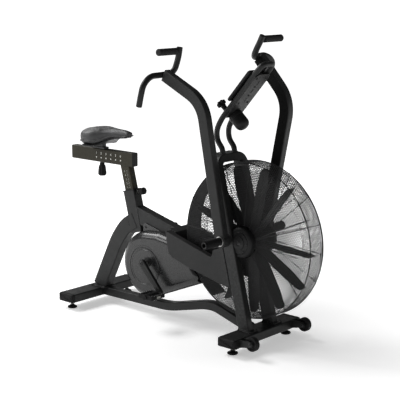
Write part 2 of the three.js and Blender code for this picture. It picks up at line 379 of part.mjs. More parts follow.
// ---------------------------------------------------------------- handle arms, grips and pegs
{
  const P = [PIV_X, PIV_Z];
  const centre = soften([[PIV_X, PIV_Z], [-163, 1082], [-384, 1188]], 62, 5);
  for (const [n, s] of [['right', -1], ['left', 1]]) {
    const turnBy = s > 0 ? ARM_LEFT_TURN : 0, r = p => rotXZ(p, P, turnBy);
    const c = centre.map(r), y0 = ARM_Y - ARM_T / 2, y1 = ARM_Y + ARM_T / 2;
    const hollow = [rotXZ([PIV_X - 10, PIV_Z + 52], P, turnBy), ...c.slice(1, -1), rotXZ([-378, 1185.2], P, turnBy)];
    const vent = rotXZ([PIV_X - 16, PIV_Z + 80], P, turnBy);
    let a = uni(plate(band(c, ARM_W), y0, y1), cylY(PIV_X, PIV_Z, 30, y0 - 8, y1, 28));
    a = cut(a, plate(band(hollow, ARM_W - 6), y0 + 3, y1 - 3), cylY(vent[0], vent[1], 3, y0 - 2, y0 + 6, 10));
    const q = (x, z) => { const [u, v] = r([x, z]); return [u, ARM_Y, v]; };
    // one bent tube across the end of the arm: inboard and up to the T grip, outboard and down to the hooked grip
    const w = (x, y, z) => { const [u, v] = r([x, z]); return [u, y, v]; };
    a = uni(a, bar([w(-359, 84, 1310), w(-363, 86, 1278), w(-371, 90, 1241), w(-379, 99, 1209), w(-389, 121, 1191), w(-396, 152, 1189), w(-404, 182, 1187), w(-407, 212, 1185), w(-401, 250, 1172), w(-398, 278, 1147), w(-403, 288, 1106), w(-414, 290, 1056)], 14, 24, 9));
    const t = w(-359, T_IN, 1292);
    a = a.add(rod(t, [t[0], T_IN + 133, t[2]], 10, 16));
    a = cut(a, cylY(PIV_X, PIV_Z, 12.4, 100, 200, 24));
    let g = turn([t[0], T_IN + 15, t[2]], [0, 1, 0], [[10.4, 0], [15.5, 0], [16, 2], [16, 121], [14.5, 124], [0, 124], [0, 119.5], [10.4, 119.5], [10.4, 0]], 20);
    // foot peg: a steel stub through the leg and the arm boss, with a ribbed sleeve outboard
    let peg = turnY(PIV_X, PIV_Z, [[0, FAN_W + 4], [12, FAN_W + 4], [12, ARM_Y + ARM_T / 2 + 0.5], [15, ARM_Y + ARM_T / 2 + 0.5], [15, 272], [10, 272], [10, 200], [0, 200]], 16);
    const ribs = [[15.8, 173]]; for (let y = 173; y < 260; y += 24) ribs.push([19, y], [19, y + 20], [17.6, y + 20], [17.6, y + 24]);
    ribs.push([19, 269], [19, 274], [15.8, 274], [15.8, 173]);
    let slv = turnY(PIV_X, PIV_Z, ribs, 14);
    if (s < 0) { a = mirrorY(a); g = mirrorY(g); peg = mirrorY(peg); slv = mirrorY(slv); }
    add(`handle_arm_${n}`, a, PAINT);
    add(`handle_grip_${n}`, g, RUBBER);
    add(`foot_peg_${n}`, peg, STEEL);
    add(`foot_peg_sleeve_${n}`, slv, RUBBER);
  }
}

// ---------------------------------------------------------------- seat post, rail, carriage, saddle, knobs
{
  const topS = (RAIL_Z0 - GAP - POST_Z) / Math.cos(LEAN);
  let post = plate(band([ax(36), ax(topS + 30)], 58), -18, 18).intersect(box(-1000, -600, -30, 30, 300, RAIL_Z0));
  post = post.subtract(plate(band([ax(30), ax(topS - 12)], 52), -15, 15));
  // pin holes down the front face
  const n = [Math.cos(LEAN), Math.sin(LEAN)];
  for (let i = 0; i < 8; i++) { const k = ax(58 + 25 * i - 25 * 0 + 0); if (58 + 25 * i > topS - 20) break; post = post.subtract(rod([k[0] + n[0] * 15, 0, k[1] + n[1] * 15], [k[0] + n[0] * 40, 0, k[1] + n[1] * 40], 5.4, 12)); }
  add('seat_post', post, OLIVE);
  let rail = box(RAIL_X0, RAIL_X1, -RAIL_Y, RAIL_Y, RAIL_Z0, RAIL_Z1).subtract(box(RAIL_X0 - 1, RAIL_X1 - 4, -RAIL_Y + 3, RAIL_Y - 3, RAIL_Z0 + 3, RAIL_Z1 - 3));
  rail = rail.subtract(box(-1110, -820, -6, 6, RAIL_Z0 - 5, RAIL_Z1 + 5));
  add('seat_rail', rail, OLIVE);

  // carriage: shoe on the rail, pillar to the saddle, stud through the slot to the knob
  let car = uni(box(CARR_X - 42, CARR_X + 34, -17, 17, RAIL_Z1 + GAP, 792), box(CARR_X - 24, CARR_X + 20, -12, 12, 791, 812), rod([CARR_X, 0, 785], [CARR_X, 0, 655], 5, 14));
  add('saddle_carriage', car, STEEL);

  // saddle: stack of outlines lofted by hull
  const ring = (k, z) => { const o = []; const pts = [[-750, 16], [-752, -16]]; const half = [[-764, 0], [-766, 14], [-780, 21], [-830, 31], [-885, 50], [-935, 80], [-985, 100], [-1022, 98], [-1038, 70], [-1042, 0]]; for (const [x, y] of half) o.push([-895 + (x + 895) * k, -y * k, z]); for (const [x, y] of half.slice(1, -1).reverse()) o.push([-895 + (x + 895) * k, y * k, z]); return o; };
  const tri = (rings) => {
    const n = rings[0].length, v = [], t = [];
    for (const r of rings) for (const p of r) v.push(...p);
    const id = (i, j) => i * n + ((j % n) + n) % n;
    for (let i = 0; i < rings.length - 1; i++) for (let j = 0; j < n; j++) { t.push(id(i, j), id(i, j + 1), id(i + 1, j + 1), id(i, j), id(i + 1, j + 1), id(i + 1, j)); }
    const b = v.length / 3; const c0 = rings[0].reduce((a, p) => [a[0] + p[0] / n, 0, a[2] + p[2] / n], [0, 0, 0]); const c1 = rings[rings.length - 1].reduce((a, p) => [a[0] + p[0] / n, 0, a[2] + p[2] / n], [0, 0, 0]);
    v.push(...c0, ...c1);
    for (let j = 0; j < n; j++) { t.push(b, id(0, j + 1), id(0, j)); t.push(b + 1, id(rings.length - 1, j), id(rings.length - 1, j + 1)); }
    return new wasm.Manifold(new wasm.Mesh({ numProp: 3, vertProperties: new Float32Array(v), triVerts: new Uint32Array(t) }));
  };
  const zf = (x, t) => { const u = (x + 1042) / 278; const lo = u < 0.35 ? 800 : 800 + (u - 0.35) / 0.65 * 52; const hi = 886 + 2 * Math.sin(Math.PI * Math.min(1, u * 1.2)) - 8 * u; return lo + (hi - lo) * t; };
  const lay = [[0.9, 0.0], [1.0, 0.18], [1.0, 0.62], [0.94, 0.86], [0.8, 1.0]].map(([k, t]) => ring(k, 0).map(([x, y]) => [x, y, zf(x, t)]));
  let sad = tri(lay);
  if (sad.volume() < 0) sad = tri(lay.map(r => r.slice().reverse()));
  sad = sad.subtract(box(CARR_X - 25, CARR_X + 21, -13, 13, 780, 812.4));
  add('saddle', sad, { color: 0x4a4b4c, roughness: 0.6, metalness: 0 });

  const d = [n[0], 0, n[1]], k = ax(108), at = t => [k[0] + n[0] * t, 0, k[1] + n[1] * t];
  add('post_pin_knob', turn(at(0), d, [[0, 29.5], [4.9, 29.5], [4.9, 37.6], [9, 37.6], [9, 52], [13, 55], [18, 66], [18, 82], [15, 87], [0, 87]], 14), RUBBER);
  const rk = turn([CARR_X, 0, 712], [0, 0, -1], [[5.3, 0], [11, 0], [12, 12], [17, 16], [21, 50], [19, 62], [14, 66], [0, 66], [0, 58], [5.3, 58], [5.3, 0]], 12);
  add('rail_clamp_knob', rk, RUBBER);
}

// ---------------------------------------------------------------- console
{
  const HY = 40, base = STAB_Z1 + GAP + 769;
  const side = (s) => [[-141, s * HY, base + GAP], [-146, s * HY, base + 20], [-172, s * HY, 905], [-176, s * HY, 948], [-150, s * HY, 1000], [-105, s * HY, 1052], [-20, s * HY, 1147], [50, s * HY, 1224]];
  const pts = [...side(-1), [72, -30, 1248], [74, 0, 1250], [72, 30, 1248], ...side(1).reverse()];
  let hoop = bar(pts, 12.5, 52, 8).intersect(box(-400, 300, -200, 200, base + GAP, 1400));
  add('console_hoop', hoop, PAINT);

  const u = [0.667, 0.745], w = [0.745, -0.667], o = [-97, 1038];     // along the slope, out of the back, origin
  const pt = (a, b) => [o[0] + u[0] * a + w[0] * b, o[1] + u[1] * a + w[1] * b];
  const slab = (a0, a1, b0, b1, y0, y1) => plate([pt(a0, b0), pt(a1, b0), pt(a1, b1), pt(a0, b1)], y0, y1);
  // hoop runs at b about -3 .. use the plate just in front of it
  const hb = (() => { const dx = -20 - o[0], dz = 1147 - o[1]; return dx * w[0] + dz * w[1]; })();
  const b0 = hb + 12.5 + 1.2;
  let br = slab(-38, 228, b0, b0 + 4, -50, 50);
  for (const a of [60, 110, 160]) br = br.subtract(slab(a, a + 30, b0 - 2, b0 + 6, -4, 4));
  const KY = -20, c = pt(-27, 0), kn = [-w[0], 0, -w[1]];
  const hole = rod([c[0] + w[0] * 40, KY, c[1] + w[1] * 40], [c[0] - w[0] * 80, KY, c[1] - w[1] * 80], 5.4, 14);
  br = br.subtract(hole);
  add('console_bracket', br, PAINT);
  // housing sits between the hoop legs, facing the rider
  const h0 = b0 - 0.3;
  let hs = uni(slab(42, 210, h0 - 30, h0, -26, 26), slab(34, 216, h0 - 40, h0 - 27, -62, 62));
  hs = cut(hs, slab(66, 204, h0 - 41, h0 - 38, -50, 50));
  const bz = [52, 80, 108];
  const btn = [[-30, 'start'], [0, 'mode'], [30, 'stop']];
  for (const [y] of btn) { const q0 = pt(51, h0 - 52), q1 = pt(51, h0 - 32); hs = hs.subtract(rod([q0[0], y, q0[1]], [q1[0], y, q1[1]], 6.4, 14)); }
  add('console_housing', hs, PLASTIC);
  for (const [y, nm] of btn) {
    const q0 = pt(51, h0 - 43), q1 = pt(51, h0 - 35.5);
    add(`console_button_${nm}`, rod([q0[0], y, q0[1]], [q1[0], y, q1[1]], 6, 14), RUBBER);
  }
  // pod below the bracket and the star knob that clamps it
  const f = b0 + 4 + GAP, ps = pt(-20, f);
  add('console_pod', turn([ps[0], 0, ps[1]], [w[0], 0, w[1]], [[0, 0], [30, 0], [33, 4], [33, 58], [29, 70], [18, 78], [0, 81]], 28), PLASTIC);
  const s0 = pt(-27, b0 + 3.5);
  const star = (() => {
    let m = turn([0, 0, 0], [0, 0, 1], [[0, 34], [11, 34], [12, 64], [15, 68], [15, 80], [12, 84], [0, 84]], 20);
    for (let i = 0; i < 6; i++) { const a = i * Math.PI / 3; m = m.add(rod([16 * Math.cos(a), 16 * Math.sin(a), 65], [16 * Math.cos(a), 16 * Math.sin(a), 83], 6, 10)); }
    m = m.add(rod([0, 0, 0], [0, 0, 35], 4.9, 14));
    return m;
  })();
  const q = new THREE.Quaternion().setFromUnitVectors(new THREE.Vector3(0, 0, 1), new THREE.Vector3(...kn));
  const mm = new THREE.Matrix4().compose(new THREE.Vector3(s0[0], KY, s0[1]), q, new THREE.Vector3(1, 1, 1));
  add('console_star_knob', star.transform(mm.elements), RUBBER);
}

let tris = 0;
group.traverse(o => { if (o.isMesh) tris += o.geometry.index.count / 3; });
if (tris > 22000) throw new Error('too many triangles: ' + tris);

export default group;
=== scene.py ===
import bpy, bmesh, math
import numpy as np
from mathutils import Vector, Matrix, Quaternion


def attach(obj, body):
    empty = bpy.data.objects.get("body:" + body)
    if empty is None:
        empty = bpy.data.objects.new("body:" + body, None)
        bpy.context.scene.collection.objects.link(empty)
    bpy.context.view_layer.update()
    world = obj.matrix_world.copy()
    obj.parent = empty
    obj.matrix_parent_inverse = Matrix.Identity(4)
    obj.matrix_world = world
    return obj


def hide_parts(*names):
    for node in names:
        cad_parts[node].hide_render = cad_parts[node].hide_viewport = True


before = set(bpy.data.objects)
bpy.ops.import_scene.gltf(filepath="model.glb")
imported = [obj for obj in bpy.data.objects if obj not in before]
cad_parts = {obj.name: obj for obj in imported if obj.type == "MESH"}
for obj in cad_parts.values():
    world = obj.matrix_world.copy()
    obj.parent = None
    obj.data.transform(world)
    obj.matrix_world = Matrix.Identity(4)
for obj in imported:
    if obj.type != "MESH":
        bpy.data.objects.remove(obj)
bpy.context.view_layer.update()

PI = math.pi
OX = 407.5
FRAME = "frame"


def M(x, y, z):
    """Local millimetres (fan centre at x = 0) to the row frame in metres."""
    return Vector(((x + OX) / 1000.0, y / 1000.0, z / 1000.0))


# ------------------------------------------------------------------ materials
def ramp(nt, fac, stops, x=0):
    r = nt.nodes.new("ShaderNodeValToRGB")
    r.color_ramp.elements[0].position = stops[0][0]
    r.color_ramp.elements[0].color = (*stops[0][1], 1) if len(stops[0][1]) == 3 else stops[0][1]
    r.color_ramp.elements[1].position = stops[-1][0]
    r.color_ramp.elements[1].color = (*stops[-1][1], 1)
    for p, c in stops[1:-1]:
        e = r.color_ramp.elements.new(p)
        e.color = (*c, 1)
    nt.links.new(fac, r.inputs[0])
    return r.outputs[0]


def noise(nt, vec, scale, detail=3.0, rough=0.5):
    n = nt.nodes.new("ShaderNodeTexNoise")
    n.inputs["Scale"].default_value = scale
    n.inputs["Detail"].default_value = detail
    n.inputs["Roughness"].default_value = rough
    nt.links.new(vec, n.inputs["Vector"])
    return n.outputs["Fac"]


def voronoi(nt, vec, scale, feature="F1", out="Distance"):
    n = nt.nodes.new("ShaderNodeTexVoronoi")
    n.feature = feature
    n.inputs["Scale"].default_value = scale
    nt.links.new(vec, n.inputs["Vector"])
    return n.outputs[out]


def mixc(nt, fac, a, b, mode="MIX"):
    m = nt.nodes.new("ShaderNodeMix")
    m.data_type = "RGBA"
    m.blend_type = mode
    for sock, v in ((m.inputs[0], fac), (m.inputs[6], a), (m.inputs[7], b)):
        if isinstance(v, (int, float)):
            sock.default_value = v
        elif isinstance(v, tuple):
            sock.default_value = (*v, 1)
        else:
            nt.links.new(v, sock)
    return m.outputs[2]


def math_(nt, op, a, b=0.0):
    m = nt.nodes.new("ShaderNodeMath")
    m.operation = op
    for i, v in enumerate((a, b)):
        if isinstance(v, (int, float)):
            m.inputs[i].default_value = v
        else:
            nt.links.new(v, m.inputs[i])
    return m.outputs[0]


def mapr(nt, v, lo, hi, a=0.0, b=1.0):
    m = nt.nodes.new("ShaderNodeMapRange")
    m.inputs["From Min"].default_value = a
    m.inputs["From Max"].default_value = b
    m.inputs["To Min"].default_value = lo
    m.inputs["To Max"].default_value = hi
    nt.links.new(v, m.inputs["Value"])
    return m.outputs[0]


def bump(nt, height, strength, dist, normal=None):
    b = nt.nodes.new("ShaderNodeBump")
    b.inputs["Strength"].default_value = strength
    b.inputs["Distance"].default_value = dist
    nt.links.new(height, b.inputs["Height"])
    if normal is not None:
        nt.links.new(normal, b.inputs["Normal"])
    return b.outputs["Normal"]


MATS = {}


def material(name, base, rough=0.5, metal=0.0, grain=900.0, grain_s=0.25, grain_d=0.0003, cells=0.0, cells_s=0.2,
             cells_d=0.0004, var=0.16, wear=0.25, wear_col=None, dust=0.10, coat=0.0, coat_rough=0.3, spec=0.5, scratch=0.0, rvar=0.12,
             stretch=None, sheen=0.0):
    mat = bpy.data.materials.new(name)
    mat.use_nodes = True
    nt = mat.node_tree
    p = nt.nodes["Principled BSDF"]
    tc = nt.nodes.new("ShaderNodeTexCoord")
    vec = tc.outputs["Object"]
    if stretch:
        mp = nt.nodes.new("ShaderNodeMapping")
        mp.inputs["Scale"].default_value = stretch
        nt.links.new(vec, mp.inputs["Vector"])
        gvec = mp.outputs[0]
    else:
        gvec = vec
    fine = noise(nt, gvec, grain, 2.0, 0.6)
    broad = noise(nt, vec, 7.0, 4.0, 0.55)
    mid = noise(nt, vec, 46.0, 4.0, 0.6)
    lo = tuple(max(0.0, c * (1 - var)) for c in base)
    hi = tuple(min(1.0, c * (1 + var)) for c in base)
    col = ramp(nt, broad, [(0.30, lo), (0.52, base), (0.72, hi)])
    speck = mapr(nt, fine, 0.90, 1.10, 0.3, 0.7)
    sc = nt.nodes.new("ShaderNodeCombineColor")
    for i in range(3):
        nt.links.new(speck, sc.inputs[i])
    col = mixc(nt, 1.0, col, sc.outputs[0], "MULTIPLY")
    # light dust in the broad hollows and handling marks
    dcol = tuple(min(1.0, c * 1.7 + 0.006) for c in base)
    dm = mapr(nt, mid, 0.0, dust, 0.52, 0.80)
    col = mixc(nt, dm, col, dcol)
    # rubbed edges
    g = nt.nodes.new("ShaderNodeNewGeometry")
    edge = mapr(nt, g.outputs["Pointiness"], 0.0, 1.0, 0.515, 0.60)
    brk = mapr(nt, noise(nt, vec, 120.0, 5.0, 0.7), 0.0, 1.0, 0.42, 0.62)
    em = math_(nt, "MULTIPLY", math_(nt, "MULTIPLY", edge, brk), wear)
    wc = wear_col or tuple(min(1.0, c * 2.6 + 0.012) for c in base)
    col = mixc(nt, em, col, wc)
    nt.links.new(col, p.inputs["Base Color"])
    rr = mapr(nt, mid, max(0.03, rough - rvar), min(1.0, rough + rvar), 0.25, 0.75)
    nt.links.new(rr, p.inputs["Roughness"])
    p.inputs["Metallic"].default_value = metal
    p.inputs["Specular IOR Level"].default_value = spec
    p.inputs["Coat Weight"].default_value = coat
    p.inputs["Coat Roughness"].default_value = coat_rough
    if sheen:
        p.inputs["Sheen Weight"].default_value = sheen
        p.inputs["Sheen Roughness"].default_value = 0.5
    nrm = bump(nt, fine, grain_s, grain_d)
    if cells:
        v = voronoi(nt, vec, cells, "F1")
        nrm = bump(nt, v, cells_s, cells_d, nrm)
    if scratch:
        mp2 = nt.nodes.new("ShaderNodeMapping")
        mp2.inputs["Scale"].default_value = (18, 240, 18)
        nt.links.new(vec, mp2.inputs["Vector"])
        s = noise(nt, mp2.outputs[0], 5.0, 6.0, 0.75)
        nrm = bump(nt, s, scratch, 0.0002, nrm)
    nt.links.new(nrm, p.inputs["Normal"])
    MATS[name] = mat
    return mat


PAINT = material("powder_coat_black", (0.0105, 0.0108, 0.0108), 0.44, 0.0, grain=1300, grain_s=0.32, grain_d=0.00022, var=0.18, wear=0.5, dust=0.16, coat=0, coat_rough=0.35, spec=0.24)
PAINT2 = material("powder_coat_plate", (0.0115, 0.0117, 0.0117), 0.46, 0.0, grain=1100, grain_s=0.34, grain_d=0.00022, var=0.16, wear=0.45, dust=0.18, coat=0, coat_rough=0.4, spec=0.24)
CAGE = material("cage_black_coat", (0.010, 0.010, 0.0105), 0.5, 0.0, grain=1500, grain_s=0.2, grain_d=0.00015, var=0.1, wear=0.3, dust=0.05, spec=0.25)
RIM = material("cage_rim_coat", (0.008, 0.008, 0.0085), 0.42, 0.0, grain=1400, grain_s=0.2, grain_d=0.00015, var=0.12, wear=0.4, dust=0.05, coat=0, spec=0.25)
PLASTIC = material("shroud_moulded_grey", (0.0118, 0.0120, 0.0123), 0.26, 0.0, grain=1500, grain_s=0.08, grain_d=0.00012, cells=900, cells_s=0.05, cells_d=0.00012, var=0.07, wear=0.25, dust=0.04, spec=0.36, coat=0.1, coat_rough=0.24, rvar=0.07)
PLASTIC_D = material("moulded_charcoal", (0.0075, 0.0077, 0.0079), 0.48, 0.0, grain=1400, grain_s=0.25, grain_d=0.00018, cells=850, cells_s=0.22, cells_d=0.00018, var=0.12, wear=0.35, dust=0.14, spec=0.18)
FANP = material("fan_blade_grey", (0.014, 0.0142, 0.0144), 0.44, 0.0, grain=900, grain_s=0.18, grain_d=0.00015, var=0.12, wear=0.4, dust=0.25, coat=0, spec=0.25)
GUARD = material("wind_guard_plastic", (0.010,0.0102,0.0104), 0.5, 0.0, grain=1300, grain_s=0.22, grain_d=0.00018, cells=700, cells_s=0.2, cells_d=0.0002, var=0.12, wear=0.3, dust=0.14, spec=0.24)
RUBBER = material("black_rubber_fine", (0.0065,0.0065,0.0067), 0.68, 0.0, grain=1200, grain_s=0.45, grain_d=0.0003, var=0.2, wear=0.35, dust=0.2, spec=0.18)
GRIP = material("grip_foam_rubber", (0.012, 0.012, 0.0125), 0.78, 0.0, grain=1600, grain_s=0.5, grain_d=0.0004, cells=1100, cells_s=0.5, cells_d=0.0004, var=0.18, wear=0.3, dust=0.18, spec=0.22)
STEEL = material("zinc_plated_steel", (0.42, 0.42, 0.41), 0.32, 1.0, grain=700, grain_s=0.10, grain_d=0.0001, var=0.10, wear=0.1, dust=0.0, scratch=0.15)
BOLT = material("blackened_bolt_steel", (0.018, 0.018, 0.0185), 0.36, 0.7, grain=900, grain_s=0.2, grain_d=0.00012, var=0.2, wear=0.6, wear_col=(0.16, 0.16, 0.16), dust=0.0)
OLIVE = material("olive_black_coat", (0.021, 0.0188, 0.0115), 0.42, 0.0, grain=1200, grain_s=0.3, grain_d=0.0002, var=0.14, wear=0.5, dust=0.14, coat=0, coat_rough=0.3, spec=0.15)
MARK = material("printed_pale_ink", (0.58, 0.58, 0.54), 0.55, 0.0, grain=1500, grain_s=0.1, grain_d=0.0001, var=0.08, wear=0.0, dust=0.0)
MARK_D = material("printed_grey_ink", (0.34, 0.34, 0.31), 0.55, 0.0, grain=1500, grain_s=0.1, grain_d=0.0001, var=0.08, wear=0.0, dust=0.0)
SADDLE = material("saddle_cover_grain", (0.044, 0.0443, 0.045), 0.42, 0.0, grain=620, grain_s=0.30, grain_d=0.0004, cells=520, cells_s=0.55, cells_d=0.0006, var=0.10, wear=0.0, dust=0.14, coat=0, coat_rough=0.40, spec=0.34)
PIPING = material("saddle_piping", (0.010, 0.010, 0.010), 0.52, 0.0, grain=900, grain_s=0.3, grain_d=0.0003, cells=700, cells_s=0.3, cells_d=0.0003, var=0.1, wear=0.0, dust=0.08)
# darker, less glossy copy of the black arm paint for the inner faces of the handle arms: painted shade
PAINT_INNER_SHADE = material("arm_inner_painted_shade", (0.0045, 0.0046, 0.0046), 0.6, 0.0, grain=1300, grain_s=0.3, grain_d=0.0002, var=0.15, wear=0.2, dust=0.04, spec=0.04)
GLASS = material("screen_black_gloss", (0.006, 0.007, 0.008), 0.12, 0.0, grain=300, grain_s=0.02, grain_d=0.00005, var=0.3, wear=0.0, dust=0.02, coat=0.8, coat_rough=0.06, rvar=0.03)
LCD = material("screen_lcd_grey", (0.20, 0.225, 0.20), 0.35, 0.0, grain=900, grain_s=0.05, grain_d=0.00005, var=0.05, wear=0.0, dust=0.0, rvar=0.05)
SEGM = material("screen_segments", (0.02, 0.024, 0.02), 0.4, 0.0, grain=900, grain_s=0.05, grain_d=0.00005, var=0.05, wear=0.0, dust=0.0, rvar=0.05)
BTN_G = material("button_green_rubber", (0.035, 0.16, 0.06), 0.6, 0.0, grain=1200, grain_s=0.3, grain_d=0.0002, var=0.1, wear=0.1, dust=0.05)
BTN_R = material("button_red_rubber", (0.23, 0.025, 0.02), 0.6, 0.0, grain=1200, grain_s=0.3, grain_d=0.0002, var=0.1, wear=0.1, dust=0.05)
BTN_N = material("button_grey_rubber", (0.12, 0.12, 0.12), 0.6, 0.0, grain=1200, grain_s=0.3, grain_d=0.0002, var=0.1, wear=0.1, dust=0.05)


# ------------------------------------------------------------------ mesh tools
def put(name, bm, mat, body=FRAME, rep=(), sharp=32, wn=True, weld=1e-6, recalc=True, parent=None):
    if weld:
        bmesh.ops.remove_doubles(bm, verts=bm.verts, dist=weld)
    if recalc:
        bmesh.ops.recalc_face_normals(bm, faces=bm.faces)
    me = bpy.data.meshes.new(name)
    bm.to_mesh(me)
    bm.free()
    me.shade_smooth()
    me.set_sharp_from_angle(angle=math.radians(sharp))
    me.materials.append(mat)
    o = bpy.data.objects.new(name, me)
    bpy.context.scene.collection.objects.link(o)
    if wn:
        w = o.modifiers.new("even_normals", "WEIGHTED_NORMAL")
        w.keep_sharp = True
        w.weight = 60
    if parent is not None:
        o.parent = parent
    else:
        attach(o, body)
    if rep:
        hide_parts(*([rep] if isinstance(rep, str) else rep))
    return o


def catmull(pts, n):
    """Points along a centripetal Catmull-Rom curve, n per span."""
    P = [np.array(p, float) for p in pts]
    P = [2 * P[0] - P[1]] + P + [2 * P[-1] - P[-2]]
    out = []
    for i in range(1, len(P) - 2):
        p0, p1, p2, p3 = P[i - 1], P[i], P[i + 1], P[i + 2]
        t0 = 0.0
        t1 = t0 + max(1e-6, np.linalg.norm(p1 - p0) ** 0.5)
        t2 = t1 + max(1e-6, np.linalg.norm(p2 - p1) ** 0.5)
        t3 = t2 + max(1e-6, np.linalg.norm(p3 - p2) ** 0.5)
        for k in range(n):
            t = t1 + (t2 - t1) * k / n
            A1 = (t1 - t) / (t1 - t0) * p0 + (t - t0) / (t1 - t0) * p1
            A2 = (t2 - t) / (t2 - t1) * p1 + (t - t1) / (t2 - t1) * p2
            A3 = (t3 - t) / (t3 - t2) * p2 + (t - t2) / (t3 - t2) * p3
            B1 = (t2 - t) / (t2 - t0) * A1 + (t - t0) / (t2 - t0) * A2
            B2 = (t3 - t) / (t3 - t1) * A2 + (t - t1) / (t3 - t1) * A3
            out.append((t2 - t) / (t2 - t1) * B1 + (t - t1) / (t2 - t1) * B2)
    out.append(P[-2])
    return out


def loft(bm, rings, closed_ring=True, cap=(True, True), close_path=False):
    """Join rings of equal length. Returns the vertex rings."""
    V = [[bm.verts.new(p) for p in r] for r in rings]
    n = len(V[0])
    m = len(V)
    for i in range(m if close_path else m - 1):
        a, b = V[i], V[(i + 1) % m]
        for j in range(n if closed_ring else n - 1):
            k = (j + 1) % n
            try:
                bm.faces.new((a[j], a[k], b[k], b[j]))
            except ValueError:
                pass
    if not close_path:
        if cap[0]:
            bm.faces.new(V[0][::-1])
        if cap[1]:
            bm.faces.new(V[-1])
    return V


def sweep(bm, path, radius, seg=20, cap=(True, True), closed=False, round_end=(0, 0)):
    """Round tube along points in metres; radius a number or one per point; round_end gives dome lengths."""
    P = [Vector(p) for p in path]
    n = len(P)
    R = [radius] * n if isinstance(radius, (int, float)) else list(radius)
    T = []
    for i in range(n):
        if closed:
            t = P[(i + 1) % n] - P[i - 1]
        else:
            t = P[min(n - 1, i + 1)] - P[max(0, i - 1)]
        T.append(t.normalized())
    up = Vector((0, 1, 0))
    if abs(T[0].dot(up)) > 0.9:
        up = Vector((0, 0, 1))
    N = (up - T[0] * up.dot(T[0])).normalized()
    frames = []
    for i in range(n):
        if i:
            q = T[i - 1].rotation_difference(T[i])
            N = (q @ N)
            N = (N - T[i] * N.dot(T[i])).normalized()
        frames.append((P[i], T[i], N.copy(), T[i].cross(N)))

    def ring(c, N, B, r):
        return [c + N * (r * math.cos(2 * PI * j / seg)) + B * (r * math.sin(2 * PI * j / seg)) for j in range(seg)]
    rings = []
    if round_end[0]:
        c, t, N0, B0 = frames[0]
        for k in range(5):
            a = PI / 2 * k / 5
            rings.append(ring(c - t * (round_end[0] * math.cos(a) - round_end[0]), N0, B0, max(R[0] - round_end[0] + round_end[0] * math.sin(a), 1e-5)))
        frames[0] = (c + t * round_end[0], t, N0, B0)
    for i, (c, t, Nn, B) in enumerate(frames):
        if i == n - 1 and round_end[1]:
            rings.append(ring(c - t * round_end[1], Nn, B, R[i]))
            for k in range(1, 6):
                a = PI / 2 * k / 5
                rings.append(ring(c - t * round_end[1] + t * round_end[1] * math.sin(a), Nn, B, R[i] - round_end[1] + round_end[1] * math.cos(a)))
        else:
            rings.append(ring(c, Nn, B, R[i]))
    loft(bm, rings, cap=cap, close_path=closed)
    return bm


def lathe(bm, prof, origin, axis, seg=40, cap=True):
    """Solid of revolution. prof is [(radius, distance)] in mm; origin is a local mm point; axis a direction."""
    o = M(*origin)
    d = Vector(axis).normalized()
    u = d.orthogonal().normalized()
    v = d.cross(u)
    rings = []
    for r, t in prof:
        c = o + d * (t / 1000)
        rr = max(r, 0.02) / 1000
        rings.append([c + u * rr * math.cos(2 * PI * j / seg) + v * rr * math.sin(2 * PI * j / seg) for j in range(seg)])
    closed = abs(prof[0][0] - prof[-1][0]) < 1e-9 and abs(prof[0][1] - prof[-1][1]) < 1e-9
    if closed:
        rings = rings[:-1]
    loft(bm, rings, cap=(cap, cap), close_path=closed)
    return bm


def roundpoly(pts, r, n=5, closed=True):
    """Round the corners of a polygon. r is one radius or a list."""
    m = len(pts)
    R = [r] * m if isinstance(r, (int, float)) else list(r)
    out = []
    for i in range(m):
        p = np.array(pts[i], float)
        if not closed and i in (0, m - 1):
            out.append(p)
            continue
        a = np.array(pts[i - 1], float)
        b = np.array(pts[(i + 1) % m], float)
        la, lb = np.linalg.norm(a - p), np.linalg.norm(b - p)
        if R[i] <= 0:
            out.append(p)
            continue
        ua, ub = (a - p) / la, (b - p) / lb
        c = float(np.clip(np.dot(ua, ub), -0.9999, 0.9999))
        half = math.acos(c) / 2
        t = min(R[i] / math.tan(half), la * 0.48, lb * 0.48)
        rad = t * math.tan(half)
        s, e = p + ua * t, p + ub * t
        bis = ua + ub
        bis /= max(1e-9, np.linalg.norm(bis))
        cen = p + bis * (rad / math.sin(half))
        a0 = math.atan2(*(s - cen)[::-1])
        a1 = math.atan2(*(e - cen)[::-1])
        d = (a1 - a0 + PI) % (2 * PI) - PI
        for k in range(n + 1):
            q = a0 + d * k / n
            out.append(cen + rad * np.array([math.cos(q), math.sin(q)]))
    return out


def ccw(pts):
    a = 0
    for i in range(len(pts)):
        x0, y0 = pts[i - 1]
        x1, y1 = pts[i]
        a += x0 * y1 - x1 * y0
    return list(pts) if a > 0 else list(pts)[::-1]


def inset(pts, k):
    """Mitred inset of a counter-clockwise polygon."""
    m = len(pts)
    out = []
    for i in range(m):
        p = np.array(pts[i], float)
        a = np.array(pts[i - 1], float)
        b = np.array(pts[(i + 1) % m], float)
        d1, d2 = p - a, b - p
        d1 /= max(1e-9, np.linalg.norm(d1))
        d2 /= max(1e-9, np.linalg.norm(d2))
        n1, n2 = np.array([-d1[1], d1[0]]), np.array([-d2[1], d2[0]])
        q = n1 + n2
        L = max(0.35, float(q @ q))
        out.append(p + q * (2 * k / L))
    return out


def pillow(bm, pts, w0, w1, r, place, n=4, both=True):
    """Prism of the outline pts between w0 and w1 with edges rounded by r. place(u, v, w) gives the point."""
    pts = ccw(pts)
    rings = []
    if r > 0:
        for k in range(n + 1):
            a = PI / 2 * k / n
            rings.append((r * (1 - math.sin(a)), w0 + r * (1 - math.cos(a))))
        if both:
            for k in range(n + 1):
                a = PI / 2 * (1 - k / n)
                rings.append((r * (1 - math.sin(a)), w1 - r * (1 - math.cos(a))))
        else:
            rings.append((0, w1))
    else:
        rings = [(0, w0), (0, w1)]
    loft(bm, [[place(q[0], q[1], w) for q in inset(pts, k)] for k, w in rings])
    return bm


def XZ(u, v, w):
    return M(u, w, v)


